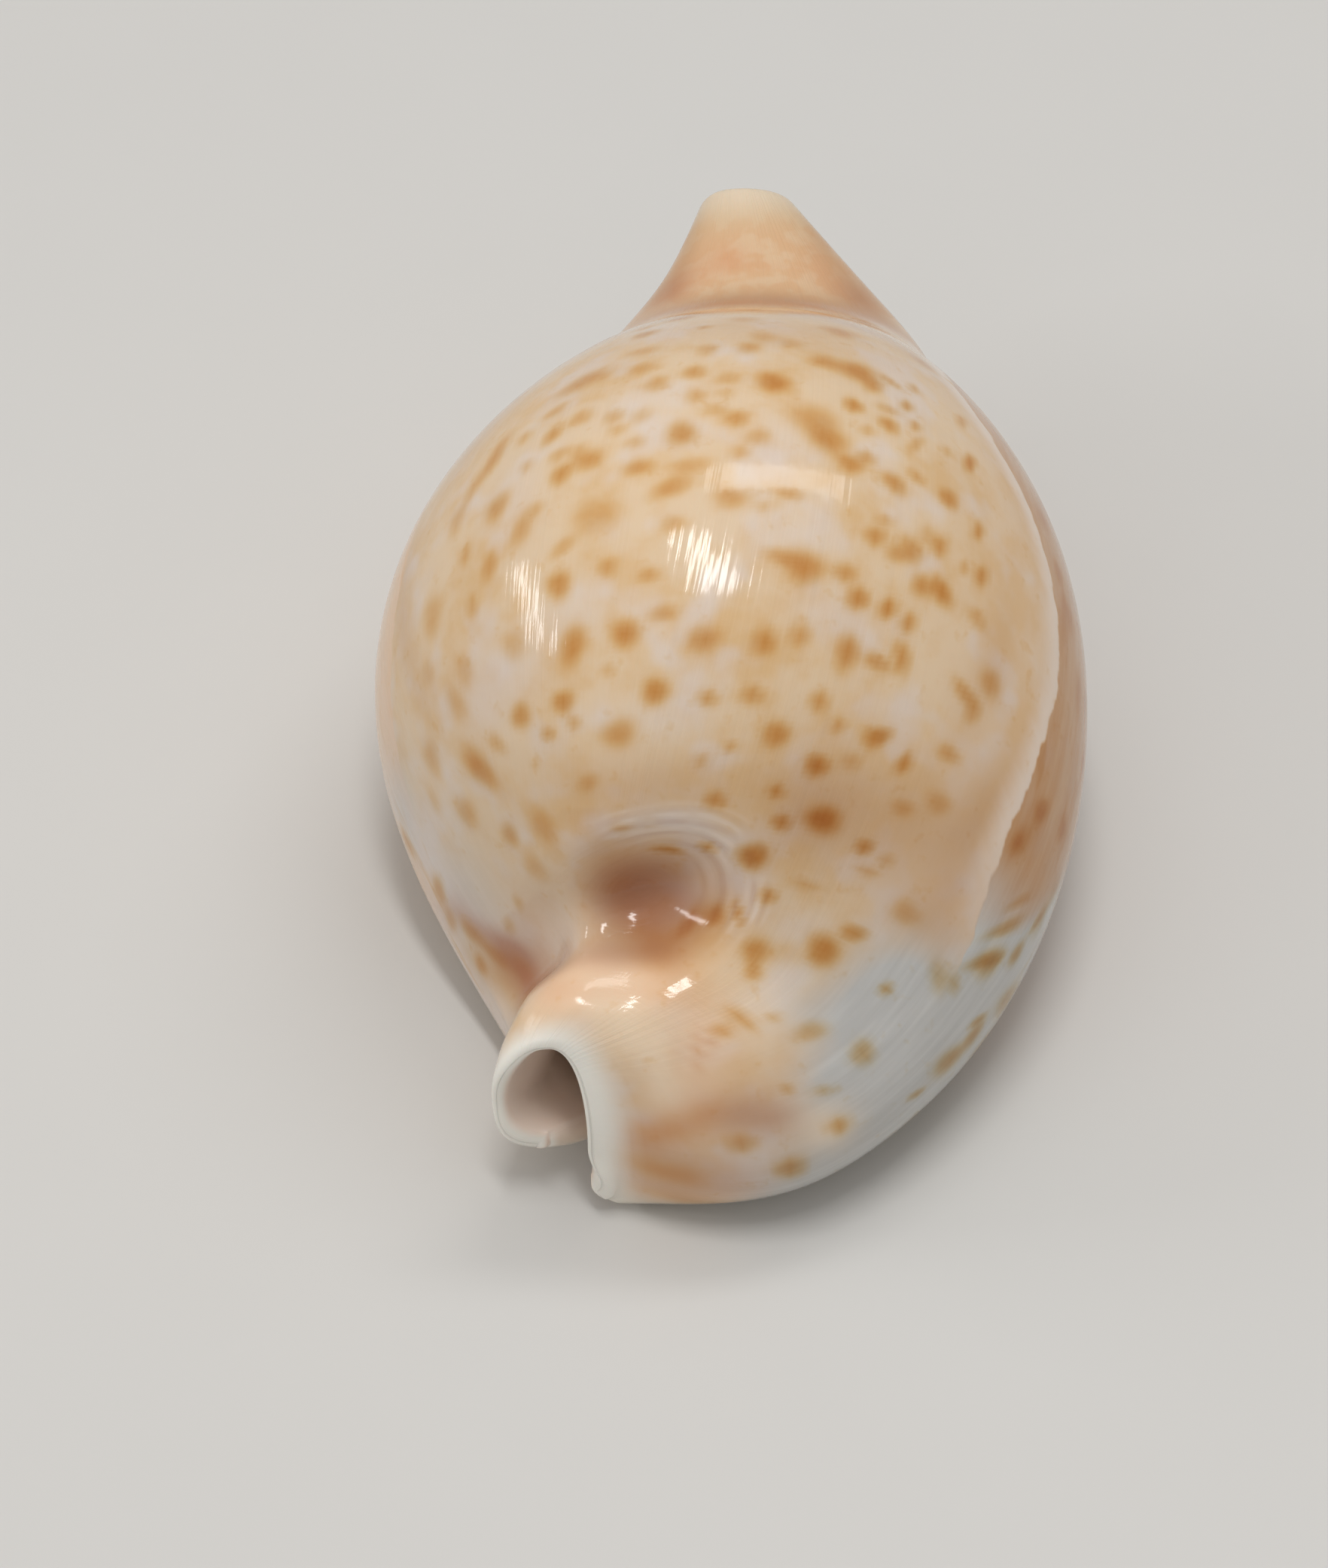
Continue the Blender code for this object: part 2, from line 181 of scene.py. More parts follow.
# presses the surface in along the pit's axis by depth (1 - r^2)^3 inside its oval
def sinkPit(points):
    pit = shellForm["pit"]
    reach, height, axis = pitReach(points)
    isInside = (reach < 1) & (np.abs(height) < pit["halfHeight"])
    press = np.where(isInside, (1 - np.minimum(reach, 1) ** 2) ** 3, 0)
    return points - pit["depth"] * press[..., None] * axis


# quarter circle from the base round the lip's edge to the foot of the slit's wall: centre + radius * (into *
# sine - up * cosine), where the radius is the rounding less the groove
def lipCurve(lip, into, rounding, groove):
    angle = np.linspace(0, pi / 2, weave["lipSteps"] + 1)[1:, None, None]
    way = into[None] * np.sin(angle) - upward * np.cos(angle)
    return np.moveaxis(lip + upward * rounding + way * (rounding - groove), 0, 1)


# every rib as one closed loop in four parts: outside, inner lip, room, outer lip; the outside is lifted by
# the groove's depth times 1 - distance / run near both lips
def ribLoops(at, groove, roomEvery):
    rail = {name: splineAt(values, at) for name, values in shellForm.items()
            if isinstance(values, list) and name != "stations"}
    lower = (1 - (np.arange(weave["lowerSteps"]) / weave["lowerSteps"]) ** weave["crowding"]) * pi / 2
    upper = np.arange(weave["upperSteps"]) / weave["upperSteps"] * pi / 2
    powers = rail["roundness"].T
    outside = sinkPit(ribCurve(rail["rightFlank"], rail["leftFlank"], rail["crown"],
                               rail["outerLip"], rail["innerLip"], powers, lower, upper))
    for points in (outside, rail["outerLip"], rail["innerLip"]):
        points[..., 2] = np.maximum(points[..., 2], 0)
    for edge in (rail["outerLip"], rail["innerLip"]):
        away = np.linalg.norm(outside - edge[:, None], axis=-1)
        outside[..., 2] += groove * np.maximum(1 - away / shellForm["teeth"]["run"], 0)
    across = rail["innerLip"] - rail["outerLip"]
    across[:, 2] = 0
    across = unit(across)
    rounding = rail["lips"][:, 2:3]
    floorRight = rail["outerLip"] + across * rounding + upward * rail["lips"][:, 0:1]
    floorLeft = rail["innerLip"] - across * rounding + upward * rail["lips"][:, 1:2]
    roomRight, roomLeft = rail["roomRight"], rail["roomLeft"]
    for side, floor in ((roomRight, floorRight), (roomLeft, floorLeft)):
        side[:, 2] = np.maximum(side[:, 2], floor[:, 2] + shellForm["room"]["headroom"])
    plain = np.full(len(at), shellForm["room"]["roundness"])
    room = ribCurve(roomRight, roomLeft, rail["roomTop"], floorRight, floorLeft,
                    (plain, plain, powers[4], plain), lower[::roomEvery], upper[::roomEvery])
    return (outside, lipCurve(rail["innerLip"], -across, rounding, groove), room[:, ::-1],
            lipCurve(rail["outerLip"], across, rounding, groove)[:, ::-1])


# quarter-circle rows that round the wall's end over onto its middle line; near the slit they head along it
def rimRows(loop, following, n, m, reach, turn):
    outer, inner = loop[:n], loop[n + m:2 * n + m][::-1]
    gap = outer[-1] - outer[0]
    alongSlit = unit(np.array([-gap[1], gap[0], 0.0])) * turn
    middle = (outer + inner) / 2
    fromSlit = [np.linalg.norm(middle - middle[k], axis=-1, keepdims=True) for k in (0, -1)]
    pull = np.maximum(1 - np.minimum(*fromSlit) / shellForm["rims"]["slitPull"], 0)
    pull = pull * pull * (3 - 2 * pull)
    wayOuter = unit(unit(outer - following[:n]) * (1 - pull) + alongSlit * pull)
    wayInner = unit(inner - following[n + m:2 * n + m][::-1])
    wayInner = unit(wayInner * (1 - pull) + alongSlit * pull)
    way = unit(wayOuter + wayInner)
    radius = np.minimum(np.linalg.norm(outer - inner, axis=-1) / 2, reach)[:, None]
    radius = radius * (1 - (1 - shellForm["rims"]["slitShare"]) * pull)
    end = np.tile(alongSlit, (m, 1))
    own = np.concatenate([wayOuter, end, wayInner[::-1], end])
    owner = np.concatenate([np.arange(n), np.full(m, n - 1), np.arange(n)[::-1], np.zeros(m, int)])
    rows = []
    for angle in np.linspace(0, pi / 2, shellForm["rims"]["steps"] + 2)[1:-1]:
        heading = unit(own * cos(angle) + way[owner] * sin(angle))
        row = middle[owner] + (loop - middle[owner]) * cos(angle)
        rows.append(row + heading * radius[owner] * sin(angle))
    return rows, middle + way * radius, owner


# where the rows stand: even steps of path length along the slit; the groove between two teeth is depth *
# (0.5 + 0.5 cos(2 pi phase))^sharpness, fading out half a tooth past the first and the last one
def rowPlaces():
    teeth, stations = shellForm["teeth"], shellForm["stations"]
    fine = np.linspace(stations[0], stations[-1], weave["pathSteps"])
    path = splineAt(shellForm["outerLip"], fine) + splineAt(shellForm["innerLip"], fine)
    run = np.append(0, np.cumsum(np.linalg.norm(np.diff(path, axis=0), axis=-1)))
    toothed = np.linspace(teeth["first"], teeth["last"], teeth["count"] * weave["rowsPerTooth"] + 1)
    share = np.concatenate([
        np.linspace(0, teeth["first"], weave["endRows"] + 1)[:-1], toothed,
        np.linspace(teeth["last"], 1, weave["endRows"] + 1)[1:],
    ])
    phase = (share - teeth["first"]) / (teeth["last"] - teeth["first"]) * teeth["count"]
    within = np.clip(np.minimum(phase, teeth["count"] - phase) + 0.5, 0, 1)
    ridge = (0.5 + 0.5 * np.cos(2 * pi * phase)) ** teeth["sharpness"]
    return np.interp(share, run / run[-1], fine), share, (teeth["depth"] * ridge * within)[:, None]


# joins two rows of the same length into quads, going round
def ringFaces(first, second):
    return np.stack([np.roll(first, -1), first, second, np.roll(second, -1)], -1)


# the whole woven surface: a ring of quads between every two rows, faces with more corners where a fine end
# row meets a coarse one, and rims closed onto the wall's middle line; the grid of rows is for the markings
def weaveShell():
    at, share, groove = rowPlaces()
    outside, innerLip, room, outerLip = ribLoops(at, groove, weave["roomEvery"])
    endAt, endGroove = at[[0, 1, -2, -1]], groove[[0, 1, -2, -1]]
    full = np.concatenate(ribLoops(endAt, endGroove, 1), 1)
    n, m, few = outside.shape[1], innerLip.shape[1], room.shape[1]
    rear, rearMiddle, owner = rimRows(full[0], full[1], n, m, shellForm["rims"]["rear"], 1)
    front, frontMiddle, owner = rimRows(full[3], full[2], n, m, shellForm["rims"]["front"], -1)
    body = np.concatenate([outside, innerLip, room, outerLip], 1)[1:-1]
    fullRows = np.array(rear[::-1] + [full[0]] + [full[3]] + front)
    points = np.concatenate([body.reshape(-1, 3), fullRows.reshape(-1, 3), rearMiddle, frontMiddle])
    points[:, :2] -= np.array(shellForm["centre"])

    ring, wide = body.shape[1], full.shape[1]
    bodyRows = np.arange(len(body) * ring).reshape(-1, ring)
    endRows = len(body) * ring + np.arange(len(fullRows) * wide).reshape(-1, wide)
    steps = shellForm["rims"]["steps"]
    rearRows, frontRows = endRows[:steps + 1], endRows[steps + 1:]
    firstMiddle = len(body) * ring + len(fullRows) * wide
    faces = np.concatenate([
        ringFaces(a, b) for rows in (bodyRows, rearRows, frontRows) for a, b in zip(rows[:-1], rows[1:])
    ]).tolist()
    every, room0, lip0 = weave["roomEvery"], n + m, n + m + few - 1
    for coarse, fine, isRear in ((bodyRows[0], rearRows[-1], True), (bodyRows[-1], frontRows[0], False)):
        strip = [[coarse[k + 1], coarse[k], fine[k], fine[k + 1]] for k in range(room0)]
        for k in range(few - 1):  # one coarse room step spans several fine ones
            b = room0 + k * every
            strip.append([coarse[room0 + k + 1], coarse[room0 + k]] + list(fine[b:b + every + 1]))
        for a, b in zip(range(lip0, ring), range(room0 + n - 1, wide)):
            strip.append([coarse[(a + 1) % ring], coarse[a], fine[b], fine[(b + 1) % wide]])
        faces += [[int(v) for v in (face[::-1] if isRear else face)] for face in strip]
    for row, first, isRear in ((rearRows[0], firstMiddle, True), (frontRows[-1], firstMiddle + n, False)):
        for j in range(wide):
            k = (j + 1) % wide
            face = [row[j], row[k], first + owner[k]] + ([first + owner[j]] if owner[j] != owner[k] else [])
            faces.append([int(v) for v in (face if isRear else face[::-1])])
    rows = [block[:, :n] for block in (rearRows, bodyRows, frontRows)]
    stations = np.concatenate([np.full(steps, at[0]), at, np.full(steps, at[-1])])
    grooves = np.concatenate([np.zeros(steps), groove[:, 0], np.zeros(steps)])
    return points, faces, {"outside": np.concatenate(rows), "stations": stations, "grooves": grooves,
                           "innerLip": bodyRows[:, n:n + m], "room": bodyRows[:, n + m:n + m + few],
                           "outerLip": bodyRows[:, n + m + few:], "rear": rearRows[:, n:],
                           "front": frontRows[:, n:], "n": n, "m": m}


points, faces, grid = weaveShell()
print("shell woven:", len(points), "points,", len(faces), "faces")


# A mark is x and y in mm, half its breadth across and along the shell, its turn in degrees, and its strength.
# Where the surface is steep, z follows y, and the second half breadth runs up the surface.
shellMarks = {
    "spots": [
        # far half of the back
        (-12.3, 2.8, 2.2, 1.2, 20, 0.8), (-7.7, 2.3, 0.9, 0.9, 0, 0.4), (-7.7, 5.6, 1.3, 0.8, 0, 0.45),
        (-6.4, -0.4, 0.9, 1, 0, 0.6), (-3.6, 0.9, 0.8, 1, 0, 0.75), (-2.1, 4.4, 0.8, 1, 0, 0.5),
        (1, 4.6, 0.9, 1, 0, 0.6), (-0.7, -0.3, 0.9, 0.9, 0, 0.5), (-3, -2.6, 0.8, 0.8, 0, 0.5),
        (-0.6, -2.4, 0.6, 0.7, 0, 0.35), (-1.7, -4.4, 0.9, 0.7, 0, 0.45), (0.3, -5.2, 0.9, 0.8, 0, 0.7),
        (2.1, 6.8, 1, 1.1, 0, 0.45), (4.5, 6, 0.9, 1, 0, 0.45), (3.2, -0.6, 1.2, 1.2, 0, 1.1),
        (7.2, 3.4, 1.1, 1, 0, 0.6), (9.8, 3, 1.5, 1.5, -25, 1), (11, 1.7, 0.7, 1, -30, 0.6),
        (12.5, 3.4, 1.1, 0.5, -35, 0.6), (14.5, 4, 0.5, 0.8, 0, 0.6), (9.1, -1.8, 0.7, 0.8, -20, 1),
        (12, -0.8, 1, 0.6, 0, 0.5), (13.9, 0.7, 0.5, 0.8, -20, 0.8), (12.4, -2.7, 0.8, 0.8, -30, 0.9),
        (14.3, -1.6, 0.5, 0.7, -30, 0.7), (10.5, -4.3, 0.6, 0.6, 0, 0.45), (14.4, -3.8, 0.4, 1.3, -30, 0.5),
        (6.3, -4.6, 1.7, 1.6, -20, 0.75), (7.7, -6.6, 1.4, 1.2, -20, 0.8), (2, -7.4, 0.9, 0.8, 0, 0.5),
        (0.3, -8.9, 0.7, 0.6, 0, 0.45), (9.3, -8.2, 1, 0.8, 0, 0.95), (10.6, -7.4, 0.7, 0.6, 0, 0.7),
        (12.4, -8.9, 1, 0.8, -25, 0.9), (14.6, -7.4, 0.9, 0.5, -20, 0.5), (17, -7.8, 0.9, 0.9, -30, 0.9),
        (17, -2.8, 0.5, 0.6, 0, 0.4), (18.9, -2.4, 0.5, 1.1, -25, 1.2), (18.5, 3, 0.5, 1.1, -30, 0.6),
        (-4.4, -6.9, 1.1, 1.1, 0, 0.95), (-7.7, -7.2, 0.8, 0.6, 0, 0.4), (-7.2, -4.2, 0.8, 0.8, 0, 0.4),
        (-9.6, -3.7, 0.8, 0.8, 0, 0.55), (-9.2, -5.4, 0.7, 0.6, 0, 0.4), (-12.5, -2.7, 0.9, 0.9, 0, 0.5),
        (-14.4, -0.4, 1, 0.7, 20, 0.4), (-14.7, -3.6, 0.7, 1, -20, 0.75), (-16.8, -2.2, 0.6, 0.8, 0, 0.35),
        (-11.2, -8, 1.1, 0.9, 0, 0.75), (-12.3, -7, 0.8, 0.8, 30, 0.45), (-13.9, -6.2, 0.8, 0.7, 0, 0.5),
        (-13.9, -8.5, 0.8, 1, -20, 0.85), (-16.8, -6, 0.6, 0.7, 0, 0.4), (-19.3, -2.4, 0.9, 1.9, -25, 0.8),
        (-20.9, -4.6, 0.7, 1.4, -25, 0.45), (-22.3, -6.8, 0.9, 1.4, -20, 0.5),
        (-18.8, -8.6, 1.1, 1.2, -25, 0.75), (-21.2, -11, 0.6, 0.9, -20, 0.45),
        (-16.6, -12.2, 0.9, 1.5, -25, 0.6), (-15.6, -10.8, 0.6, 0.7, 0, 0.4),
        (-10.8, -13.5, 1.7, 1.5, 20, 0.5), (-7.6, -9.9, 1, 0.7, 0, 0.6), (-4.8, -12.1, 1.4, 0.8, 25, 0.7),
        (-3.2, -10.2, 1.5, 0.7, 0, 0.5), (-0.4, -13.1, 1.3, 0.8, 0, 0.65), (-4.6, -15.3, 0.9, 0.7, 0, 0.5),
        (-13.4, -15.1, 1.1, 0.6, 20, 0.5), (-9.7, -17.8, 0.7, 0.7, 0, 0.55), (-6.3, -19, 0.7, 0.6, 0, 0.5),
        (-13.6, -18.2, 0.95, 1, 0, 0.95), (-19.4, -13.6, 0.8, 1.1, -20, 0.65),
        (-20.7, -16, 0.6, 0.9, 0, 0.45), (4.5, -12.3, 0.9, 0.5, 0, 0.55), (2.2, -13.5, 0.6, 0.5, 0, 0.35),
        (10.8, -13.9, 0.8, 0.8, -20, 0.85), (11.9, -12.4, 0.7, 0.5, 0, 0.45),
        (14.1, -14, 1.1, 0.9, -20, 0.85), (13, -14.7, 0.8, 0.7, 0, 0.6), (16.5, -12.4, 0.6, 0.9, -20, 0.7),
        (15, -12, 0.7, 0.9, 0, 0.4), (19.6, -8.9, 0.5, 0.9, -20, 0.8), (14.6, -16.3, 0.9, 0.8, 0, 0.8),
        (16.2, -15.8, 1.2, 0.8, -30, 1), (19.6, -12.6, 0.6, 0.9, -20, 0.9), (18.4, -13, 0.6, 0.6, 0, 0.5),
        (5.6, -17.9, 1.4, 1.2, 0, 0.95), (4, -17.2, 1.3, 0.6, -15, 0.6),
        # near half of the back
        (8.5, -17.4, 0.8, 0.7, 0, 0.75), (9.6, -19.1, 0.8, 0.8, 0, 1), (12.1, -18.8, 0.6, 0.8, 0, 1),
        (14, -19.3, 0.6, 0.8, 0, 0.9), (19.3, -16.3, 1.2, 0.6, -20, 0.45), (-5.4, -21.6, 1, 0.6, 0, 0.6),
        (-12.6, -22.7, 0.9, 1.5, -35, 0.85), (-8.2, -23, 1, 1.05, 0, 1.05), (-2.4, -23.4, 1.1, 1, 0, 0.85),
        (-17.3, -20.8, 1, 1.2, 0, 0.45), (-24.1, -13.8, 1.3, 1.6, -15, 0.5),
        (-16.4, -25.4, 0.9, 0.9, 0, 0.85), (-13.1, -26, 0.8, 0.8, 0, 0.95), (-18.3, -25.6, 0.6, 1, 20, 0.5),
        (-14.4, -27.4, 0.5, 0.6, 20, 0.55), (-12.3, -27.5, 0.5, 0.6, 0, 0.55), (-8.9, -28.8, 1.2, 1, 0, 0.8),
        (-6, -26.6, 0.95, 0.9, 0, 1.05), (-1.9, -27, 0.7, 0.6, 0, 0.7), (1.3, -26.5, 0.8, 0.7, 0, 0.7),
        (-9.8, -25.1, 0.6, 0.5, 0, 0.35), (0.3, -29.5, 0.5, 0.5, 0, 0.5), (-2.5, -30.3, 0.6, 0.6, 0, 0.45),
        (-15.2, -28.3, 0.4, 0.4, 0, 0.3), (-11.2, -30.8, 0.8, 0.6, 0, 0.45),
        (-0.9, -32.2, 0.75, 0.7, 0, 0.8), (-8.4, -33.1, 0.7, 0.4, 0, 0.5), (1.9, -34, 1.1, 1, 0, 1.6),
        (2.6, -23.3, 0.9, 0.9, 0, 0.8), (5.5, -22.3, 0.75, 0.8, 0, 0.6), (9.2, -22.9, 0.8, 1.2, 0, 1),
        (11.3, -22.6, 1.1, 0.6, 0, 0.8), (13.2, -21.8, 0.7, 1.2, 25, 0.9), (6.8, -26, 0.65, 0.85, 0, 0.75),
        (8.6, -27.2, 0.6, 0.6, 0, 0.5), (11, -27.2, 0.8, 0.8, 0, 0.8), (11.9, -26.6, 0.8, 0.6, 30, 0.7),
        (3.3, -28.5, 0.95, 0.9, 0, 1.05), (6.9, -29.7, 0.75, 0.8, 0, 1.1), (6.2, -29.2, 0.6, 0.6, 0, 0.4),
        (13.8, -27.7, 0.55, 0.8, 0, 0.9), (9.6, -29, 0.8, 0.6, 0, 0.4), (3.7, -31.2, 0.55, 0.55, 0, 0.7),
        (4.2, -32.7, 0.65, 0.6, 0, 1), (7.2, -31.8, 1.3, 0.9, 0, 1.4), (10.5, -32.6, 0.65, 0.6, 0, 1),
        (12.4, -32.9, 0.6, 0.5, 0, 0.4), (10.8, -33.7, 0.9, 0.4, 0, 0.45), (3.2, -35.8, 0.6, 0.7, 0, 0.9),
        (6.5, -35, 1.2, 0.4, 0, 0.35), (10.1, -36.7, 0.95, 0.6, 0, 0.95), (2.2, -38.3, 0.95, 0.9, 0, 0.9),
        (1.9, -39.4, 0.6, 0.7, 0, 0.7), (7.7, -37.8, 1.15, 1.15, 0, 1.3), (4.9, -38.1, 1.6, 0.9, 0, 0.2),
        (14, -34.9, 1.3, 0.8, 0, 0.5), (16.7, -28.8, 1.1, 0.8, 0, 0.45), (13.7, -30.2, 0.9, 0.6, 0, 0.5),
        (17.3, -25.9, 1, 0.6, 0, 0.6), (20.7, -19.8, 1.1, 1, 0, 0.7), (18.3, -21.5, 1.3, 0.6, -15, 0.7),
        (19.2, -22.4, 0.7, 1, 0, 0.55),
        # the left side, down to the canal
        (-20, -25.3, 31, 1.8, 1.3, 0, 0.95), (-21, -25.7, 25.6, 1.2, 1.4, 0, 0.6),
        (-24.1, -21.2, 27.3, 1.3, 1.4, 0, 0.55), (-23.7, -22.7, 23.4, 1, 1, 0, 0.3),
        (-20.9, -20.1, 36.6, 1.2, 1, 0, 0.45), (-21.7, -21.1, 33.9, 1.6, 1, 0, 0.5),
        (-24.2, -17.1, 32.9, 1, 0.8, 0, 0.35), (-17.3, -29.1, 27, 0.9, 1.1, 0, 0.75),
        (-14.5, -30.9, 30.7, 1.4, 1.5, 0, 0.5), (-15.3, -31, 25.5, 1.2, 1.4, 0, 0.45),
        (-17.7, -29.9, 16, 0.6, 0.8, 0, 0.4), (-16.7, -30.1, 19.4, 0.5, 0.8, 0, 0.35),
        (-20.9, -27.5, 12.3, 1.3, 0.9, 0, 0.8), (-23.7, -23.9, 12.9, 0.8, 1.5, 0, 0.8),
        (-22.8, -25.4, 10.9, 0.8, 1.2, 0, 0.6), (-20.2, -28.8, 9.7, 0.7, 0.8, 0, 0.6),
        (-18.6, -29.8, 12, 1.6, 0.7, 0, 0.7), (-16.4, -32, 12.5, 1.6, 0.8, 0, 0.9),
        # round the pit and on the canal
        (-1.7, -32.9, 31.2, 0.6, 0.6, 0, 0.9), (-4.8, -32.6, 30.1, 1.2, 0.5, -15, 0.9),
        (-3, -35.7, 24.3, 0.5, 1.3, 0, 0.7), (-0.9, -35.6, 25.9, 0.7, 0.9, -20, 1),
        (1.1, -36.1, 26.4, 0.35, 0.9, 35, 0.8), (-0.4, -43.1, 0.8, 0.5, 0, 0.5),
        (1.3, -42.3, 1.2, 0.5, -30, 0.6), (3.7, -41.8, 0.6, 0.4, 0, 0.4), (6.7, -42.5, 1.1, 0.7, 25, 0.6),
        (10.9, -42.7, 0.9, 0.9, 25, 0.75), (5.1, -45.6, 0.5, 0.5, 0, 0.45), (7.6, -45.4, 0.8, 0.4, 20, 0.45),
        (12.5, -38.9, 0.5, 0.5, 0, 0.75), (23.6, -27, 1, 1.7, -20, 0.5), (23.4, -29.8, 0.4, 1.4, -30, 0.5),
        (22.3, -31.8, 0.55, 2, -35, 0.8), (20.4, -34.6, 0.55, 1.6, -40, 0.7),
        (25.2, -28.4, 0.4, 1.4, -10, 0.9), (21.9, -33.4, 0.4, 0.9, -20, 0.5),
        (16.9, -37.2, 1.3, 0.8, -30, 0.5), (18.2, -36.6, 0.9, 0.5, -30, 0.5),
        (20.3, -36.7, 0.4, 0.9, -20, 0.8), (15.4, -42.3, 0.4, 0.8, -20, 0.7),
        (9.2, -46.3, 0.9, 0.7, 20, 0.8),
    ],
    # the same, below the widest line
    "lowSpots": [
        (5.1, -48.3, 9.1, 1.1, 1.1, 0, 0.9), (1.6, -47.9, 12.2, 1, 0.9, 0, 0.7),
    ],
    "washes": {
        "milk": [
            (-25, -22, 3.5, 6, 0, 0.8), (-22, -27.5, 5, 5, 0, 0.9), (-16.5, -31, 4, 3.5, 0, 0.7),
            (-13, -33.5, 3, 3.5, 0, 0.5), (-17.5, -9, 2.4, 3.6, 0, 0.5), (-6.5, -2.5, 4, 2, 10, 0.5),
            (4.5, -15.5, 3.2, 1.6, 0, 0.6), (8, -20.5, 3.2, 1.6, 0, 0.6), (-17, -22.5, 3.2, 2.6, 0, 0.5),
            (-5.4, -28.2, 3.2, 1.4, 0, 0.5), (-12, -20.5, 3, 2, 0, 0.5), (3.5, -7.5, 2.6, 2.6, 0, 0.5),
            (-19, -31.2, 7.1, 2.6, 2.6, 0, 1), (-20.6, -28.9, 6.2, 2.4, 2.4, 0, 0.9),
            (-17.3, -33.3, 8, 2.2, 2.6, 0, 0.9), (-23, -25.5, 7, 2.2, 3, 0, 0.6),
            (5.8, -36.8, 2.6, 1.4, 0, 0.5), (-27, -19, 2, 5, 0, 0.7), (-20, -22.5, 3, 3, 0, 0.6),
            (2.8, -41, 2.4, 1.8, 0, 0.6),
        ],
        "pearl": [
            (14.3, -38, 4, 3.4, 0, 1), (18.5, -37.5, 3.2, 4.6, 0, 1), (11.5, -41, 4.6, 3.2, 0, 1),
            (15.5, -41.8, 4, 3.6, 0, 1), (22.5, -33.5, 2.2, 4.6, 0, 0.9), (25.4, -28.6, 1.6, 4.6, 0, 0.8),
            (8.5, -44.5, 3, 2.6, 0, 0.7), (11.5, -45.5, 3.6, 3, 0, 0.9), (6, -41.5, 2.4, 1.8, 0, 0.4),
        ],
        "lowPearl": [
            (-21, -26.5, 16, 4, 6, 0, 0.45), (-26.3, -18.5, 18, 3, 5, 0, 0.5), (15, -43.5, 5, 4.6, 0, 1),
            (21.5, -36.5, 4, 6, 0, 1), (9, -47.5, 5, 4, 0, 0.9), (25.5, -29.5, 3, 6, 0, 0.9),
            (3.5, -48.8, 5, 4, 3, 0, 0.8),
        ],
        "butter": [
            (-7.5, -43.8, 3.2, 2.2, 0, 0.9), (-4.8, -45.8, 1.5, 3, 0, 0.8), (2.6, -41.5, 2.4, 2.6, 0, 0.5),
            (0.5, -39, 2.4, 1.6, 0, 0.5), (8, -47, 2.4, 2, 0, 0.8), (-9.5, -41.5, 2.4, 2, 0, 0.5),
        ],
        "lowPeach": [(-6, -48, 5.5, 4, 3.5, 0, 0.6), (-0.5, -48.8, 6, 3.5, 3, 0, 0.5)],
        "peach": [
            (-13.2, -40.5, 3, 3.4, 0, 0.9), (-9.5, -39.5, 3.4, 2.6, 0, 0.8), (-5, -40.5, 3.4, 2.6, 0, 0.7),
            (-1.5, -43.6, 2.6, 2.6, 0, 0.7), (-2.5, -46.4, 3, 3, 0, 0.8),
        ],
        "amber": [
            (-4.3, -47.4, 13.2, 3.2, 1.6, 25, 0.85), (-1, -46.9, 15, 1.6, 1.3, 0, 0.5),
            (-6.3, -47.4, 11, 1.6, 1.6, 0, 0.3), (-2.1, -44.5, 19.4, 0.45, 1.8, 0, 0.5),
            (-1.2, -43.9, 19.9, 0.3, 1, 0, 0.5), (-3.7, -44.5, 19.4, 0.7, 1.6, 0, 0.2),
            (-9.7, -41, 3.5, 0.9, 0, 0.2), (-13.3, -41, 1.6, 1.5, 0, 0.25), (-4.5, -41.3, 2.6, 0.8, 0, 0.15),
        ],
        "rose": [
            (1.8, -46.9, 14.8, 2.2, 1.8, 0, 0.6), (4.2, -46.8, 14.2, 1.6, 1.6, 0, 0.4),
            (-4, -48.2, 10, 4.5, 1.6, 0, 0.3), (-20.4, -28, 1.3, 2, 15, 0.5),
            (-17.6, -30.4, 1.5, 2.2, 25, 0.7), (-15.8, -32.8, 2, 3, 25, 0.7), (-13.6, -35.6, 2.4, 2, 0, 0.6),
            (-10.5, -37.4, 3.2, 1.4, 0, 0.4), (-6, -37.4, 3, 1.2, 0, 0.25), (17.9, -32.6, 2.2, 2, 0, 0.2),
            # (2, 33.6, 12) is painted shade in the crease where the beak meets the back
            (2, 33.6, 12, 1.3, 0, 0.6), (-6, 37.8, 1.8, 2.8, 0, 0.55), (-6.4, -32.6, 24.3, 4, 2.4, 0, 0.5),
            # (-6.4, -32.6, 24.3) on the line above and the two marks here are the pit's brown, deepened as
            # painted shade in its hollow
            (-3.5, -34.5, 24.5, 3, 2, 0, 0.35), (-6.5, -35.6, 23.2, 5, 1.8, 0, 0.5),
            (-0.4, -34.4, 2.4, 2.4, 0, 0.3), (-14.6, -34.6, 1.6, 2.4, 0, 0.5), (0, -48.6, 8, 3, 1.6, 0, 0.3),
            (11, 36.6, 2.2, 3, 0, 0.5),
        ],
        "lowRose": [
            (-4, -48.4, 6, 5, 1.8, 0, 0.35), (-22.5, -25.5, 12.5, 1.5, 3, -30, 0.4),
            (-15.8, -33.6, 12, 2, 2.2, 0, 0.35), (-17.7, -30.8, 11, 2, 2, 0, 0.2),
            (-20.4, -28.9, 9.5, 2, 2.4, 0, 0.2), (-14.3, -39.3, 21.2, 1.4, 1.2, 0, 0.3),
        ],
        "tan": [
            # (-7, -31.6, 7) is grey-tan with painted shade on the pit's upper rim
            (14, -31, 6, 4.5, 0, 0.65), (-7, -31.6, 7, 2.4, 0, 0.5), (6.5, -31.5, 4, 4.5, 0, 0.8),
            (16, -35, 3.5, 2, 0, 0.5), (20.3, -27.5, 2.6, 5, 0, 0.6), (23.5, -27, 1.8, 3.6, 0, 0.7),
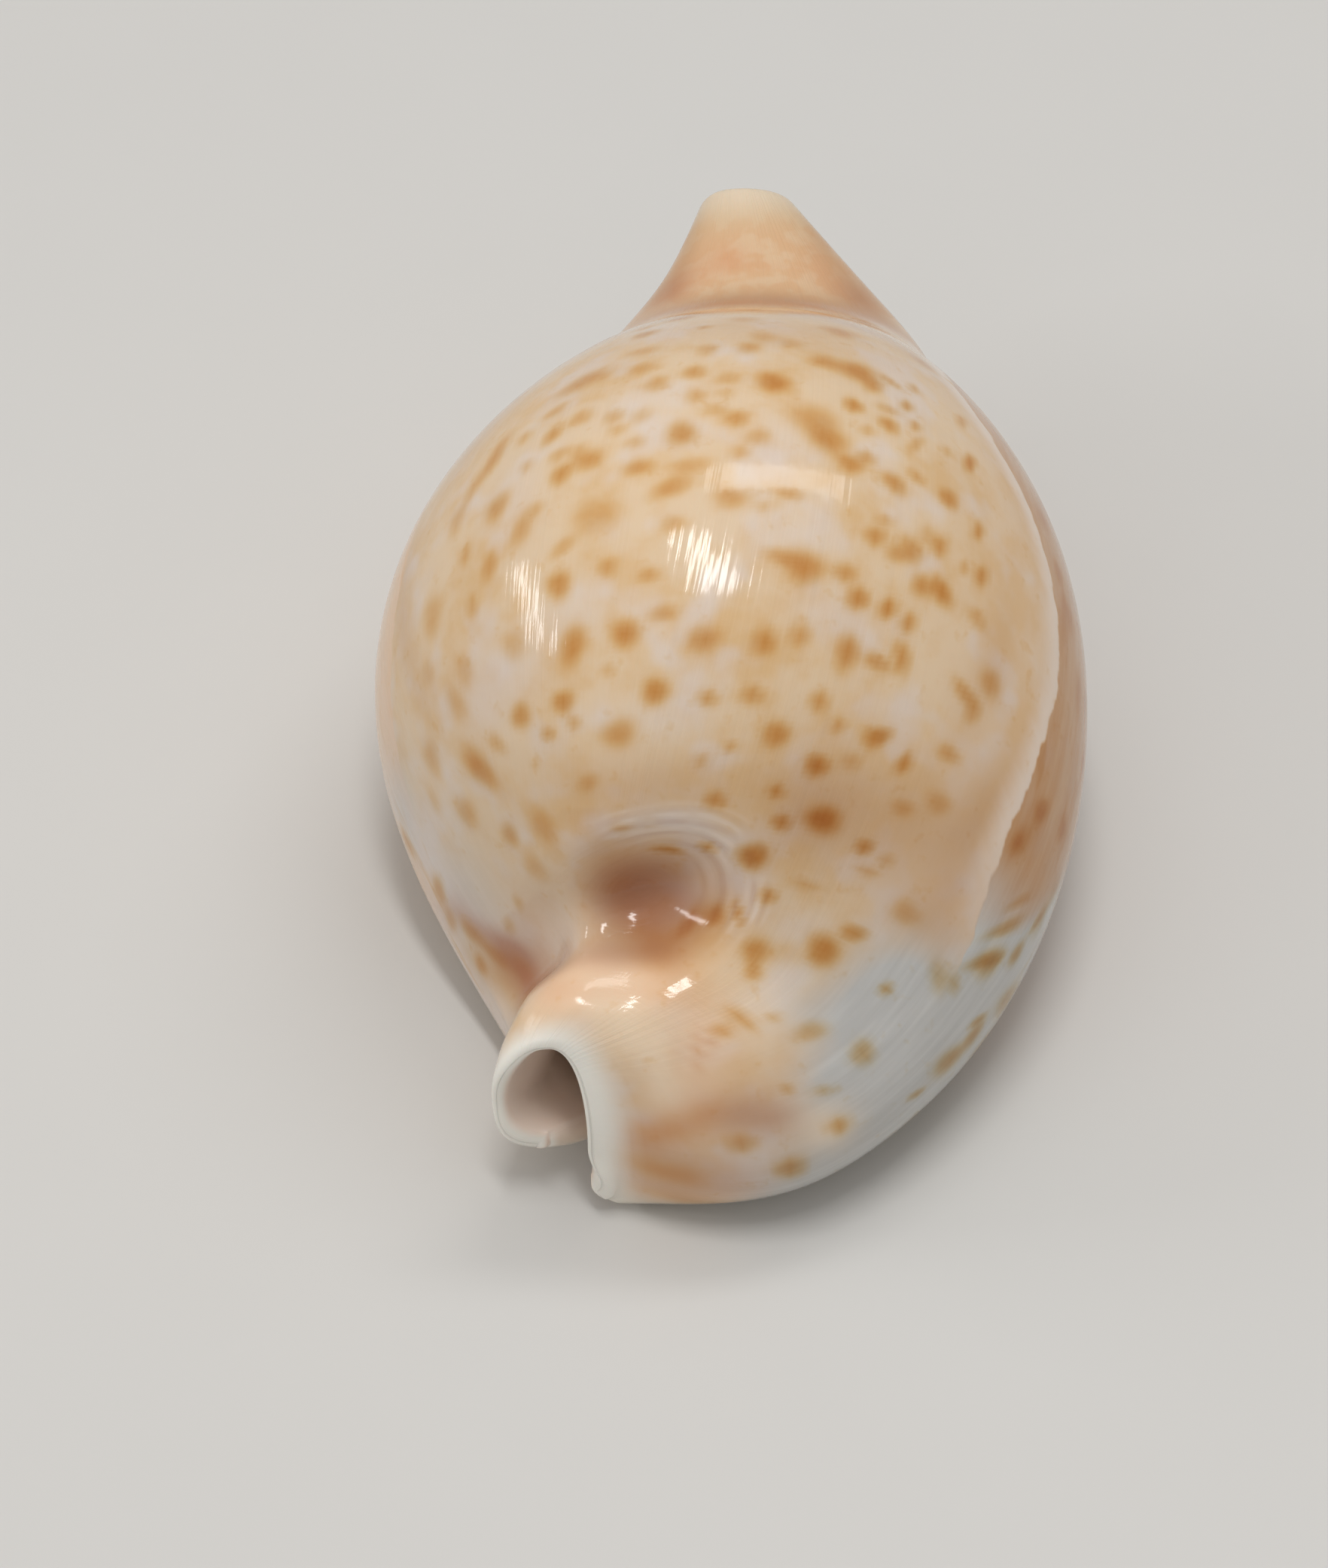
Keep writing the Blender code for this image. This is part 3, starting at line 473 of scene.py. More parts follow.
            # (2, 15.5, 14), (2, 9.5, 12) and the three marks of the next line are the back's own tan with
            # painted shade where the surface turns away towards its outline
            (20, -20, 2, 6, 0, 0.4), (2, 15.5, 14, 2.6, 0, 0.9), (2, 9.5, 12, 4, 0, 0.45),
            (-20, 6, 3, 8, -20, 0.5), (-26.8, -10, 2, 9, 0, 0.5), (21, 6, 3, 8, 20, 0.5),
            # (2, 34.5, 12) is tan with painted shade in the crease where the beak meets the back
            (2, 34.5, 12, 1.6, 0, 0.9), (11.6, 37, 2.4, 5, 10, 0.8), (-7.4, 38, 2, 4, -10, 0.8),
            (7.5, 43.5, 1.6, 4, 10, 0.5), (-4.4, 43.5, 1.4, 4, -10, 0.5),
        ],
        "stain": [
            (-2.6, -36.4, 2.6, 2, 0, 0.35), (-0.5, -35.4, 26.4, 1.6, 2, 0, 0.25),
            (-3.1, -34.9, 24.7, 0.45, 1.3, 0, 0.7), (-4.8, -48.2, 8.2, 2.6, 1.2, 0, 0.7),
            (-5.8, -36, 23.4, 4, 1.8, 0, 0.3), (-2.6, -48.4, 8, 1.2, 1.2, 0, 0.25),
        ],
        "lowStain": [
            (-3.6, -48.3, 4, 2.8, 1.6, 0, 0.5), (-16, -33.2, 11, 2.2, 2.4, 0, 0.65),
            (-18.2, -30.6, 10.5, 2, 2, 0, 0.5), (-20.6, -28.4, 9.5, 2, 2, 0, 0.35),
        ],
        "dent": [(-7.6, -41, 2, 2.6, 0, 1), (-2.2, -41.5, 1.6, 2.2, 0, 0.6)],
        "growth": [
            (-7, -32.7, 34.5, 6, 2.2, 0, 1), (-0.3, -33.5, 30.5, 3, 3.5, 0, 1),
            (1.8, -35.6, 27.5, 2.5, 2.5, 0, 0.9),
        ],
        "flush": [
            (-0.9, 40, 1.6, 1.4, 0, 0.8), (-3, 39.6, 2, 1.6, 0, 0.5), (-5.4, 38, 1.6, 2, 0, 0.9),
            (7.5, 40, 1.8, 3, 0, 0.6), (9.5, 37.4, 1.4, 2, 0, 0.6), (2, 38.9, 3.6, 0.5, 0, 0.4),
        ],
    },
    "turnOfSpots": 3,  # seed of the spots' outlines
    # hidden spots: past this y, past this many mm from the glaze's edge, or low on the left side; then the
    # widest column, the stations they lie between, and the rate and the start of their stretch
    "strewn": {
        "seed": 11, "tries": 4000, "count": 150, "apart": 3.0, "size": (0.5, 1.3), "strength": (0.4, 1.1),
        "turn": (-20, 20), "fromY": 9, "pastEdge": 1.0, "lowSide": {"column": 1.0, "fromY": -20},
        "widest": 1.55, "stations": (2.5, 11.6), "stretch": (1.2, 0.6),
    },
    # arc in mm from the crown to the edge of the last glaze layer, one value per station, on either side
    "rightLine": [22.0, 27.0, 28.0, 29.0, 30.0, 32.0, 36.0, 31.5, 21.5, 17.5, 16.5, 17.0, 16.0, 15.0],
    "leftLine": [20.0, 22.0, 24.0, 26.0, 29.0, 33.5, 34.5, 33.5, 31.0, 26.0, 21.0, 17.0, 12.0, 9.0],
}


# an S-shaped step from 0 at the first value to 1 at the second: 3 t^2 - 2 t^3
def easeStep(value, first, second):
    t = np.clip((value - first) / (second - first), 0, 1)
    return t * t * (3 - 2 * t)


# how a mark falls off, how far out it is followed, and how much a spot's outline swells
markEdge = {"fall": 0.8, "spotPower": 2.5, "washPower": 2.0, "swell": 0.05, "cut": 2.6}


# sum of soft-edged marks, each strength exp(-fall r^p), where r is the distance over the surface in units of
# the mark's own oval; a seed makes the marks spots, with a sharper p and an r that swells by two sines of the
# angle round them; a mark with a z sits at its own nearest point, any other at the nearest in x and y
def layMarks(marks, places, normals, candidates, seed=None):
    field = np.zeros(len(places))
    phases, power, swell = np.zeros((len(marks), 2)), markEdge["washPower"], 0
    if seed is not None:
        phases = np.random.default_rng(seed).uniform(0, 2 * pi, (len(marks), 2))
        power, swell = markEdge["spotPower"], markEdge["swell"]
    for (x, y, *height, wide, long, turn, strength), (first, second) in zip(marks, phases):
        if height:
            seat = np.argmin(((places - (x, y, height[0])) ** 2).sum(-1))
        else:
            far = (places[candidates, 0] - x) ** 2 + (places[candidates, 1] - y) ** 2
            seat = candidates[np.argmin(far)]
        way = 2 if height else 1
        lengthwise = unit(np.eye(3)[way] - normals[seat] * normals[seat, way])
        across = np.cross(lengthwise, normals[seat])
        d = places - places[seat]
        near = np.where((d ** 2).sum(-1) < (markEdge["cut"] * max(wide, long)) ** 2)[0]
        a, b = d[near] @ across, d[near] @ lengthwise
        c, s = cos(radians(turn)), sin(radians(turn))
        u, v = (a * c + b * s) / wide, (b * c - a * s) / long
        angle = np.arctan2(v, u)
        wobble = 1 + (swell * np.sin(2 * angle + first) + swell * np.sin(3 * angle + second))
        field[near] += strength * np.exp(-markEdge["fall"] * (np.hypot(u, v) * wobble) ** power)
    return field


# spots for the sides that the list leaves bare: random seats, kept if no earlier one is too near, and drawn
# out lengthwise by 1 + rate * (column - start) down the sides
def strewSpots(places, columns, stations, margin):
    how = shellMarks["strewn"]
    draw = np.random.default_rng(how["seed"])
    around, y = np.abs(columns), places[:, 1]
    lowSide = (columns > how["lowSide"]["column"]) & (y > how["lowSide"]["fromY"])
    bare = (y > how["fromY"]) | (margin > how["pastEdge"]) | lowSide
    first, last = how["stations"]
    bare &= (around < how["widest"]) & (stations > first) & (stations < last)
    rate, start = how["stretch"]
    spots, seats = [], []
    for seat in draw.choice(np.where(bare)[0], how["tries"]):
        if len(spots) >= how["count"]:
            break
        if seats and np.linalg.norm(places[seats] - places[seat], axis=1).min() < how["apart"]:
            continue
        seats.append(seat)
        size = draw.uniform(*how["size"])
        long = size * (1 + rate * max(around[seat] - start, 0))
        spots.append((seat, size, long, draw.uniform(*how["turn"]), draw.uniform(*how["strength"])))
    return spots


# between which values each zone sets in
zones = {
    # column round the shell: 0 on the crown, 1 at the flank, 2 at the lip
    "base": (1.25, 1.7), "groove": (1.7, 1.93),
    # station along the rails
    "beak": (11.2, 12.3),
    # mm from the rear or the front edge, outside and then inside
    "rearRim": (0.4, 3.8), "frontRim": (0.8, 4.8), "tip": (1.5, 7.0), "innerRim": (0, 2.2),
    # y in mm
    "paleEnd": (-36, -27), "edgeEnd": (26, 36),
    # mm of arc from the crown
    "rightSide": (-2, 2),
    # turn of a rim, from 0 outside to 1 inside
    "turn": (0.1, 0.8),
}
# strands in a quarter of the shell, the ring number of what is far from the pit, and shares of the rims' and
# the inside's colour
zoneScale = {"strands": 48, "farRing": 9.0, "frontRim": 0.3, "wall": 0.4, "roomRim": 0.05, "turnedRim": 0.95}


# every value the finish needs, one number per point: sums of marks, distances over the surface added up from
# point to point, and S-shaped steps of those between the zones' values
def shellValues():
    outside, n, m = grid["outside"], grid["n"], grid["m"]
    rows = len(outside)
    place = points[outside]
    normal = unit(np.cross(np.gradient(place, axis=0), np.gradient(place, axis=1))).reshape(-1, 3)
    arc, along = [
        np.cumsum(np.insert(np.linalg.norm(np.diff(place, axis=way), axis=-1), 0, 0, axis=way), way)
        for way in (1, 0)
    ]
    arc -= arc[:, n // 2:n // 2 + 1]
    lower, upper = weave["lowerSteps"], weave["upperSteps"]
    k = np.arange(n) - n // 2
    column = np.where(np.abs(k) <= upper, k / upper, np.sign(k) * (1 + (np.abs(k) - upper) / lower))
    column = np.tile(column, (rows, 1)).ravel()
    around = np.abs(column)
    station = np.repeat(grid["stations"], n)
    place, arc = place.reshape(-1, 3), arc.ravel()
    high, low = np.where(around <= 1)[0], np.where(around > 1)[0]
    rightLine = splineAt(shellMarks["rightLine"], station)
    leftLine = splineAt(shellMarks["leftLine"], station)
    margin = np.where(arc < 0, -arc - rightLine, arc - leftLine)

    values = {}
    seed = shellMarks["turnOfSpots"]
    pigment = layMarks(shellMarks["spots"], place, normal, high, seed)
    pigment += layMarks(shellMarks["lowSpots"], place, normal, low, seed)
    for seat, wide, long, turn, strength in strewSpots(place, column, station, margin * (arc < 0)):
        mark = (place[seat, 0], place[seat, 1], wide, long, turn, strength)
        pigment += layMarks([mark], place, normal, np.array([seat]), int(seat))
    values["pigment"] = pigment
    washes = shellMarks["washes"]
    for name in [name for name in washes if not name.startswith("low")]:
        total = layMarks(washes[name], place, normal, high)
        total += layMarks(washes.get("low" + name.capitalize(), []), place, normal, low)
        values[name] = np.clip(total, 0, 1)
    pit = shellForm["pit"]
    reach, height, axis = pitReach(place + np.array([*shellForm["centre"], 0.0]))
    isNear = np.abs(height) < pit["halfHeight"]
    values["ring"] = np.where(isNear, reach, zoneScale["farRing"]) * pit["shortRadius"]
    values["margin"] = margin
    values["strand"] = column * zoneScale["strands"]
    for name, over in (("rightSide", -arc), ("base", around), ("beak", station)):
        values[name] = easeStep(over, *zones[name])
    values["groove"] = np.repeat(grid["grooves"], n) * easeStep(around, *zones["groove"])
    fromRear, fromFront = along, along[-1:] - along
    frontRim = zoneScale["frontRim"] - zoneScale["frontRim"] * easeStep(fromFront, *zones["frontRim"])
    values["rim"] = np.maximum(1 - easeStep(fromRear, *zones["rearRim"]), frontRim).ravel()
    values["tip"] = 1 - easeStep(fromFront, *zones["tip"]).ravel()
    values["paleEnd"] = 1 - easeStep(place[:, 1], *zones["paleEnd"])
    nearMiddle = (1 - values["paleEnd"]) * (1 - easeStep(place[:, 1], *zones["edgeEnd"]))
    values["edge"] = values["rightSide"] * nearMiddle
    values["along"] = along.ravel()
    values["inside"] = np.zeros(len(place))

    # the rims' colour goes over their edge and a little way in
    endCount = shellForm["rims"]["steps"] + 1
    inward = np.minimum(fromRear, fromFront)[endCount:-endCount].mean(1)
    rowRim = 1 - easeStep(inward - inward.min(), *zones["innerRim"])
    total = {}
    for name, value in values.items():
        total[name] = np.zeros(len(points))
        total[name][outside.ravel()] = value
    share = (np.arange(m) + 1) / m
    for name, inwardShare in (("innerLip", share), ("outerLip", share[::-1])):
        block = grid[name]
        total["base"][block] = 1
        total["groove"][block] = grid["grooves"][endCount:-endCount][:, None]
        total["inside"][block] = zoneScale["wall"] * inwardShare[None]
        total["rim"][block] = rowRim[:, None]
    total["base"][grid["room"]] = 1
    total["inside"][grid["room"]] = 1
    total["rim"][grid["room"]] = zoneScale["roomRim"] * rowRim[:, None]
    turned = np.arange(endCount) / (endCount - 1)
    for name, over in (("rear", turned), ("front", turned[::-1])):
        total["rim"][grid[name]] = 1 - zoneScale["turnedRim"] * easeStep(over, *zones["turn"])[:, None]
        total["inside"][grid[name]] = 1
    total["rim"][-2 * n:] = 1
    return total


shellValue = shellValues()
print("markings laid")


# display colour, each channel 0 to 255, as the linear colour a socket takes: c / 12.92 when dark, else
# ((c + 0.055) / 1.055)^2.4
def tint(red, green, blue):
    c = np.array([red, green, blue]) / 255
    linear = np.where(c <= 0.04045, c / 12.92, ((c + 0.055) / 1.055) ** 2.4)
    return (*[float(v) for v in linear], 1.0)


# one socket of a material's node tree; arithmetic on values adds Math nodes
class Signal:
    def __init__(self, tree, socket=None):
        self.tree, self.socket = tree, socket

    # the value or the link of each socket of a node, by name or by number
    def feed(self, node, inputs):
        for name, value in inputs.items():
            if isinstance(value, Signal):
                self.tree.links.new(value.socket, node.inputs[name])
            else:
                node.inputs[name].default_value = value

    # any node: its settings first, then its inputs
    def node(self, kind, settings=None, inputs=None, output=0):
        made = self.tree.nodes.new("ShaderNode" + kind)
        for name, value in (settings or {}).items():
            setattr(made, name, value)
        self.feed(made, inputs or {})
        return Signal(self.tree, made.outputs[output])

    # one Math node of two values
    def math(self, operation, first, second=0.0, clamp=False):
        return self.node("Math", {"operation": operation, "use_clamp": clamp}, {0: first, 1: second})

    def __add__(self, other):
        return self.math("ADD", self, other)

    def __radd__(self, other):
        return self.math("ADD", other, self)

    def __sub__(self, other):
        return self.math("SUBTRACT", self, other)

    def __rsub__(self, other):
        return self.math("SUBTRACT", other, self)

    def __mul__(self, other):
        return self.math("MULTIPLY", self, other)

    def __rmul__(self, other):
        return self.math("MULTIPLY", other, self)

    def __rpow__(self, other):
        return self.math("POWER", other, self)

    def __neg__(self):
        return self.math("MULTIPLY", self, -1.0)

    # held between 0 and 1
    def clamped(self):
        return self.math("ADD", self, 0.0, clamp=True)

    # S-shaped step from 0 to 1 between two values
    def step(self, first, second):
        return self.node("MapRange", {"interpolation_type": "SMOOTHSTEP"},
                         {"Value": self, "From Min": first, "From Max": second})

    # first * (1 - share) + second * share, or first * second where the blend is a multiplication
    def blend(self, first, second, share, blend="MIX"):
        sockets = {0: share, 6: first, 7: second}
        return self.node("Mix", {"data_type": "RGBA", "blend_type": blend}, sockets, 2)

    # this colour, with another laid over it by a share
    def under(self, colour, share, blend="MIX"):
        return self.blend(self, colour, share, blend)

    # a value stored at the mesh's points
    def value(self, name):
        return self.node("Attribute", {"attribute_name": name}, output=2)

    # noise around 0.5, with its scale per unit of the place
    def noise(self, place, scale, detail=2.0, rough=0.5):
        return self.node("TexNoise", None, {"Vector": place, "Scale": scale, "Detail": detail,
                                            "Roughness": rough})

    # three values as one vector
    def triple(self, x, y, z):
        return self.node("CombineXYZ", None, {"X": x, "Y": y, "Z": z})


# colours and shares of the glaze; tan and rose also serve as painted shade in the pit, the neck's crease and
# towards the outline
glaze = {
    "cream": tint(225, 199, 166), "straw": tint(219, 183, 136), "tan": tint(194, 152, 112),
    "milk": tint(222, 209, 201), "pearl": tint(190, 188, 184), "sheen": tint(204, 202, 198),
    "butter": tint(241, 217, 188), "peach": tint(238, 204, 172), "blush": tint(222, 186, 158),
    "beak": tint(218, 178, 138), "tip": tint(216, 190, 154), "flush": tint(216, 160, 118),
    "amber": tint(206, 140, 82), "rose": tint(168, 108, 80), "line": tint(232, 214, 198),
    "margin": tint(186, 134, 84), "base": tint(234, 222, 204), "groove": tint(216, 190, 160),
    "rim": tint(246, 242, 232), "inside": tint(236, 216, 200),
    # share of red, green and blue light that one unit of pigment lets through
    "passes": (0.81, 0.55, 0.27), "pigment": 1.25,
    "roughness": 0.11, "gloss": 0.3, "ior": 1.5,
    # light under the glaze: its share, its depth in mm, and how far each colour goes
    "depthOfLight": 0.10, "depth": 1.2, "depths": (1.0, 0.62, 0.4),
    # heights in mm of the fine and the coarse striae, the pit's growth rings and the broad unevenness
    "striae": (0.018, 0.06), "rings": 0.05, "unevenness": 0.05, "dent": 0.28,
    # how far each colour covers what lies under it
    "cover": {
        "blush": 0.45, "cloud": 0.6, "beakCream": 0.55, "flush": 0.6, "tan": 0.85, "beyond": 0.8,
        "line": 0.85, "milk": 0.8, "growth": 0.45, "gap": 0.2, "growthLine": 0.8, "peach": 0.9, "butter": 0.9,
        "pit": 0.6, "freckles": 0.18, "blotches": 0.4, "amber": 0.75, "rose": 0.75, "base": 0.95,
        "groove": 0.8,
    },
    # between which values each one sets in: of a noise, of the strand, or in mm from the edge or the pit
    "onset": {
        "cream": (0.34, 0.60), "cloud": (0.48, 0.72), "beakCream": (0.42, 0.60), "streak": (0.30, 0.72),
        "sheen": (0.30, 0.80), "growth": (0.32, 0.56), "freckles": (0.60, 0.80), "blotches": (0.52, 0.70),
        "blush": (-14.0, -46.0), "calm": (12.0, 24.0), "edge": (-0.25, 0.25), "line": (-3.6, -0.3),
        "lineEnd": (-0.2, 0.2), "pitSide": (6.0, 9.5), "pitRim": (6.5, 9.0), "pitFloor": (2.4, 3.8),
        "pitMiddle": (0.5, 5.5),
    },
    # scales of the even noises, per mm
    "grain": {"cloud": 0.12, "fine": 0.45, "milk": 0.19, "growth": 0.3, "ragged": 1.2, "freckles": 0.7,
              "uneven": 0.35, "ring": 1.5},
    # scales of the drawn-out noises: per strand across the shell, and per mm along it or round the pit
    "drawn": {"streaks": (0.55, 0.07), "edge": (0.1, 0.5), "drift": (0.08, 0.3), "blotches": (0.28, 0.10),
              "fineStriae": (3.0, 0.05), "coarseStriae": (1.1, 0.03)},
}


# a new material, its shader and its first signal
def startMaterial(name):
    material = bpy.data.materials.new(name)
    material.use_nodes = True
    tree = material.node_tree
    return material, tree.nodes["Principled BSDF"], Signal(tree)


# the finish: ground colours mixed one over another by share, times share ^ density of pigment for each colour
# of light, under a gloss whose bump adds up striae, rings, unevenness and dents
def glazeMaterial():
    material, shader, s = startMaterial("spottedPorcelainGlaze")
    onset, grain = glaze["onset"], glaze["grain"]
    place = s.node("VectorMath", {"operation": "SCALE"}, {0: s.node("TexCoord", output=3), "Scale": 1 / mm})
    read = {name: s.value(name) for name in shellValue}

    # noise drawn out over the strands: at strand * first scale, the way along * second scale, and a layer
    def drawnNoise(name, layer=0.0, detail=2, rough=0.5, way="along"):
        across, lengthwise = glaze["drawn"][name]
        return s.noise(s.triple(read["strand"] * across, read[way] * lengthwise, layer), 1.0, detail, rough)

    # one colour laid over what is there, by its mask times its cover
    def lay(below, name, mask, colour=None):
        return below.under(colour or glaze[name], mask * glaze["cover"][name])

    # the ground: cloudy cream and straw, pinker on the outer-lip side, milky or pearly in places
    fineCloud = s.noise(place, grain["fine"], 2)
    mottle = s.noise(place, grain["cloud"], 2) * 0.65 + fineCloud * 0.35
    ground = s.blend(glaze["straw"], glaze["cream"], mottle.step(*onset["cream"]))
    ground = lay(ground, "blush", read["strand"].step(*onset["blush"]))
    clouds = s.noise(place, grain["milk"], 2).step(*onset["cloud"])
    ground = lay(ground, "cloud", clouds, glaze["milk"])
    beakCream = fineCloud.step(*onset["beakCream"]) * glaze["cover"]["beakCream"]
    ground = ground.under(s.blend(glaze["beak"], glaze["cream"], beakCream), read["beak"])
    ground = lay(ground, "flush", read["flush"])
    ground = ground.under(glaze["tip"], read["tip"])
    # the tan washes: the back's own tan, with painted shade in the neck's crease, on the pit's upper rim and
    # where the back turns away towards its outline
    ground = lay(ground, "tan", (read["tan"] + 0.25 * (fineCloud - 0.5)).clamped())

    # beyond the edge of the last glaze layer the colour is warmer and streaky
    streaks = drawnNoise("streaks", read["rightSide"] * 9, 3, 0.6)
    margin = read["margin"] + (drawnNoise("edge") - 0.5) * 1.6
    beyond = margin.step(*onset["edge"]) * (1 - read["beak"])
    beyondColour = s.blend(glaze["margin"], glaze["tan"], streaks.step(*onset["streak"]))
    beyondColour = s.blend(glaze["peach"], beyondColour, read["rightSide"] * 0.8 + 0.2)
    ground = lay(ground, "beyond", beyond, beyondColour)
    lineHere = margin.step(*onset["line"]) * (1 - margin.step(*onset["lineEnd"]))
    ground = lay(ground, "line", lineHere * read["edge"])
    ground = lay(ground, "milk", read["milk"].clamped())

    # the pit: pale growth rings round it
    nearPit = 1 - read["ring"].step(*onset["pitSide"])
    drift = drawnNoise("drift", way="ring")
    wave = s.node("Math", {"operation": "SINE"}, {0: read["ring"] * 6.5 + drift * 11})
    rimOfPit = read["growth"] * (1 - read["ring"].step(*onset["pitRim"]))
    ground = lay(ground, "growth", rimOfPit, glaze["milk"])
    patches = s.noise(place, grain["growth"], 2).step(*onset["growth"])
    rimOfPit = rimOfPit * read["ring"].step(*onset["pitFloor"]) * patches
    ground = lay(ground, "gap", (-wave).step(0.0, 1.0) * rimOfPit, glaze["rose"])
    ground = lay(ground, "growthLine", wave.step(0.0, 1.0) * rimOfPit, glaze["line"])

    # the canal and the outer lip's end, then the pit's middle: brown, deepened as painted shade in its hollow
    nacre = s.blend(glaze["pearl"], glaze["sheen"], streaks.step(*onset["sheen"]))
    paleRight = read["paleEnd"] * read["rightSide"]
    ground = ground.under(nacre, (read["pearl"] + beyond * paleRight).clamped())
    ground = lay(ground, "peach", read["peach"].clamped())
    ground = lay(ground, "butter", read["butter"].clamped())
    ground = lay(ground, "pit", 1 - read["ring"].step(*onset["pitMiddle"]), glaze["rose"])

    # pigment under the glaze: each unit of it passes its own share of each colour of light
    ragged = (s.noise(place, grain["ragged"], 2) - 0.5) * 0.3
    freckles = s.noise(place, grain["freckles"], 2).step(*onset["freckles"]) * glaze["cover"]["freckles"]
    blotches = drawnNoise("blotches", 3.0, 3).step(*onset["blotches"])
    blotches = blotches * beyond * (1 - paleRight) * glaze["cover"]["blotches"]
    density = read["pigment"] * (1 + ragged) * glaze["pigment"] + read["stain"]
    density = density + (freckles + blotches) * (1 - read["beak"])
    density = density * (1 - read["base"]) * (1 - read["inside"])
    red, green, blue = [share ** density for share in glaze["passes"]]
    colour = ground.under(s.node("CombineColor", None, {0: red, 1: green, 2: blue}), 1.0, "MULTIPLY")

    # stains, with painted shade in the rose washes of the pit's hollow and the neck's crease, the base, the
    # teeth, the mouths' rims and the inside
    for name in ("amber", "rose", "base"):
        colour = lay(colour, name, read[name])
    colour = lay(colour, "groove", (read["groove"] * 1.6).clamped())
    for name in ("inside", "rim"):
        colour = colour.under(glaze[name], read[name])

    # the gloss, broken by striae along the shell, rings round the pit and a slight unevenness
    fine, coarse = drawnNoise("fineStriae"), drawnNoise("coarseStriae", 7.0)
    striae = fine * glaze["striae"][0] + coarse * glaze["striae"][1]
    striae = striae * (1 - s.math("ABSOLUTE", read["strand"]).step(*onset["calm"]) * 0.75)
    rings = s.noise(s.triple(read["ring"] * grain["ring"], 0.0, 0.0), 1.0, 2) * glaze["rings"]
    onPit = nearPit * (1 - read["peach"].clamped())
    unevenness = s.noise(place, grain["uneven"], 2) * glaze["unevenness"]
    relief = striae * (1 - nearPit) + rings * onPit + unevenness - read["dent"] * glaze["dent"]
    bump = s.node("Bump", None, {"Strength": 1.0, "Distance": mm, "Height": relief})
    roughness = glaze["roughness"] + (fineCloud - 0.5) * 0.08 + read["inside"] * 0.2
    s.feed(shader, {
        "Base Color": colour, "Normal": bump, "Roughness": roughness, "IOR": glaze["ior"],
        "Specular IOR Level": glaze["gloss"], "Subsurface Weight": glaze["depthOfLight"],
        "Subsurface Scale": glaze["depth"] * mm, "Subsurface Radius": glaze["depths"],
    })
    return material


# a new object in the scene
def addObject(name, data):
    thing = bpy.data.objects.new(name, data)
    bpy.context.scene.collection.objects.link(thing)
    return thing


# one mesh with its values as per-point attributes; each point times mm, from millimetres to metres
def meshPiece(name, points, faces, values, material):
    mesh = bpy.data.meshes.new(name)
    mesh.from_pydata((points * mm).tolist(), [], faces)
    mesh.update()
    mesh.shade_smooth()
    for label, value in values.items():
        attribute = mesh.attributes.new(label, "FLOAT", "POINT")
        attribute.data.foreach_set("value", value.astype(np.float32))
    mesh.materials.append(material)
    return addObject(name, mesh)


shell = meshPiece("cowrieShell", points, faces, shellValue, glazeMaterial())
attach(shell, "root")
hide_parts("shell")
triangles = sum(len(face) - 2 for face in faces)
print("shell made:", triangles, "triangles")


# floor, light and camera; lengths in millimetres, the floor's side in metres
studio = {
    "floor": {"side": 3.0, "points": 9, "height": -0.02, "colour": tint(212, 210, 206), "roughness": 0.6,
              "cloud": {"colour": tint(190, 188, 185), "scale": 60.0, "share": 0.1}},
    "world": {"colour": tint(224, 223, 222), "strength": 0.5},
    "middle": (0, -8, 25),
    # each panel: its direction from the shell's middle, distance in mm, width and length in mm, the way its
    # length runs, and its power in watts
    "panels": {
        "sky": {"toward": (0.0, 0.02, 0.99), "away": 900, "size": (1000, 1000), "along": (0, 1, 0),
                "power": 1.5},
        "fill": {"toward": (-0.5, -0.75, 0.45), "away": 900, "size": (700, 700), "along": (0, 0, 1),
                 "power": 0.28},
        "key": {"toward": (-0.01, -0.125, 0.99), "away": 650, "size": (64, 250), "along": (0.55, -0.83, 0),
                "power": 1.25},
        "left": {"toward": (-0.91, 0.07, 0.36), "away": 650, "size": (35, 290), "along": (0, -0.97, 0.25),
                 "power": 0.58},
        "window": {"toward": (0.28, 0.35, 0.88), "away": 650, "size": (110, 420), "along": (1, 0, -0.3),
                   "power": 0.7},
    },
    "camera": {"place": (-0.1, -273.1, 341.7), "aim": (-5.5, -12.05, 12.5), "lens": 115.0, "sensor": 36.0,
               "clip": (0.01, 20.0)},
}


# turns an object so that its -z looks from its place to a point and its y leans the given way: z is the unit
# vector back from the point, x the cross product of y's wish and z, y that of z and x
def aimAt(thing, place, aim, lean=(0, 0, 1)):
    back = unit(np.array(place, float) - np.array(aim, float))
    across = unit(np.cross(np.array(lean, float), back))
    turn = Matrix(np.stack([across, np.cross(back, across), back], 1).tolist())
    thing.matrix_world = Matrix.Translation(Vector(place) * mm) @ turn.to_4x4()


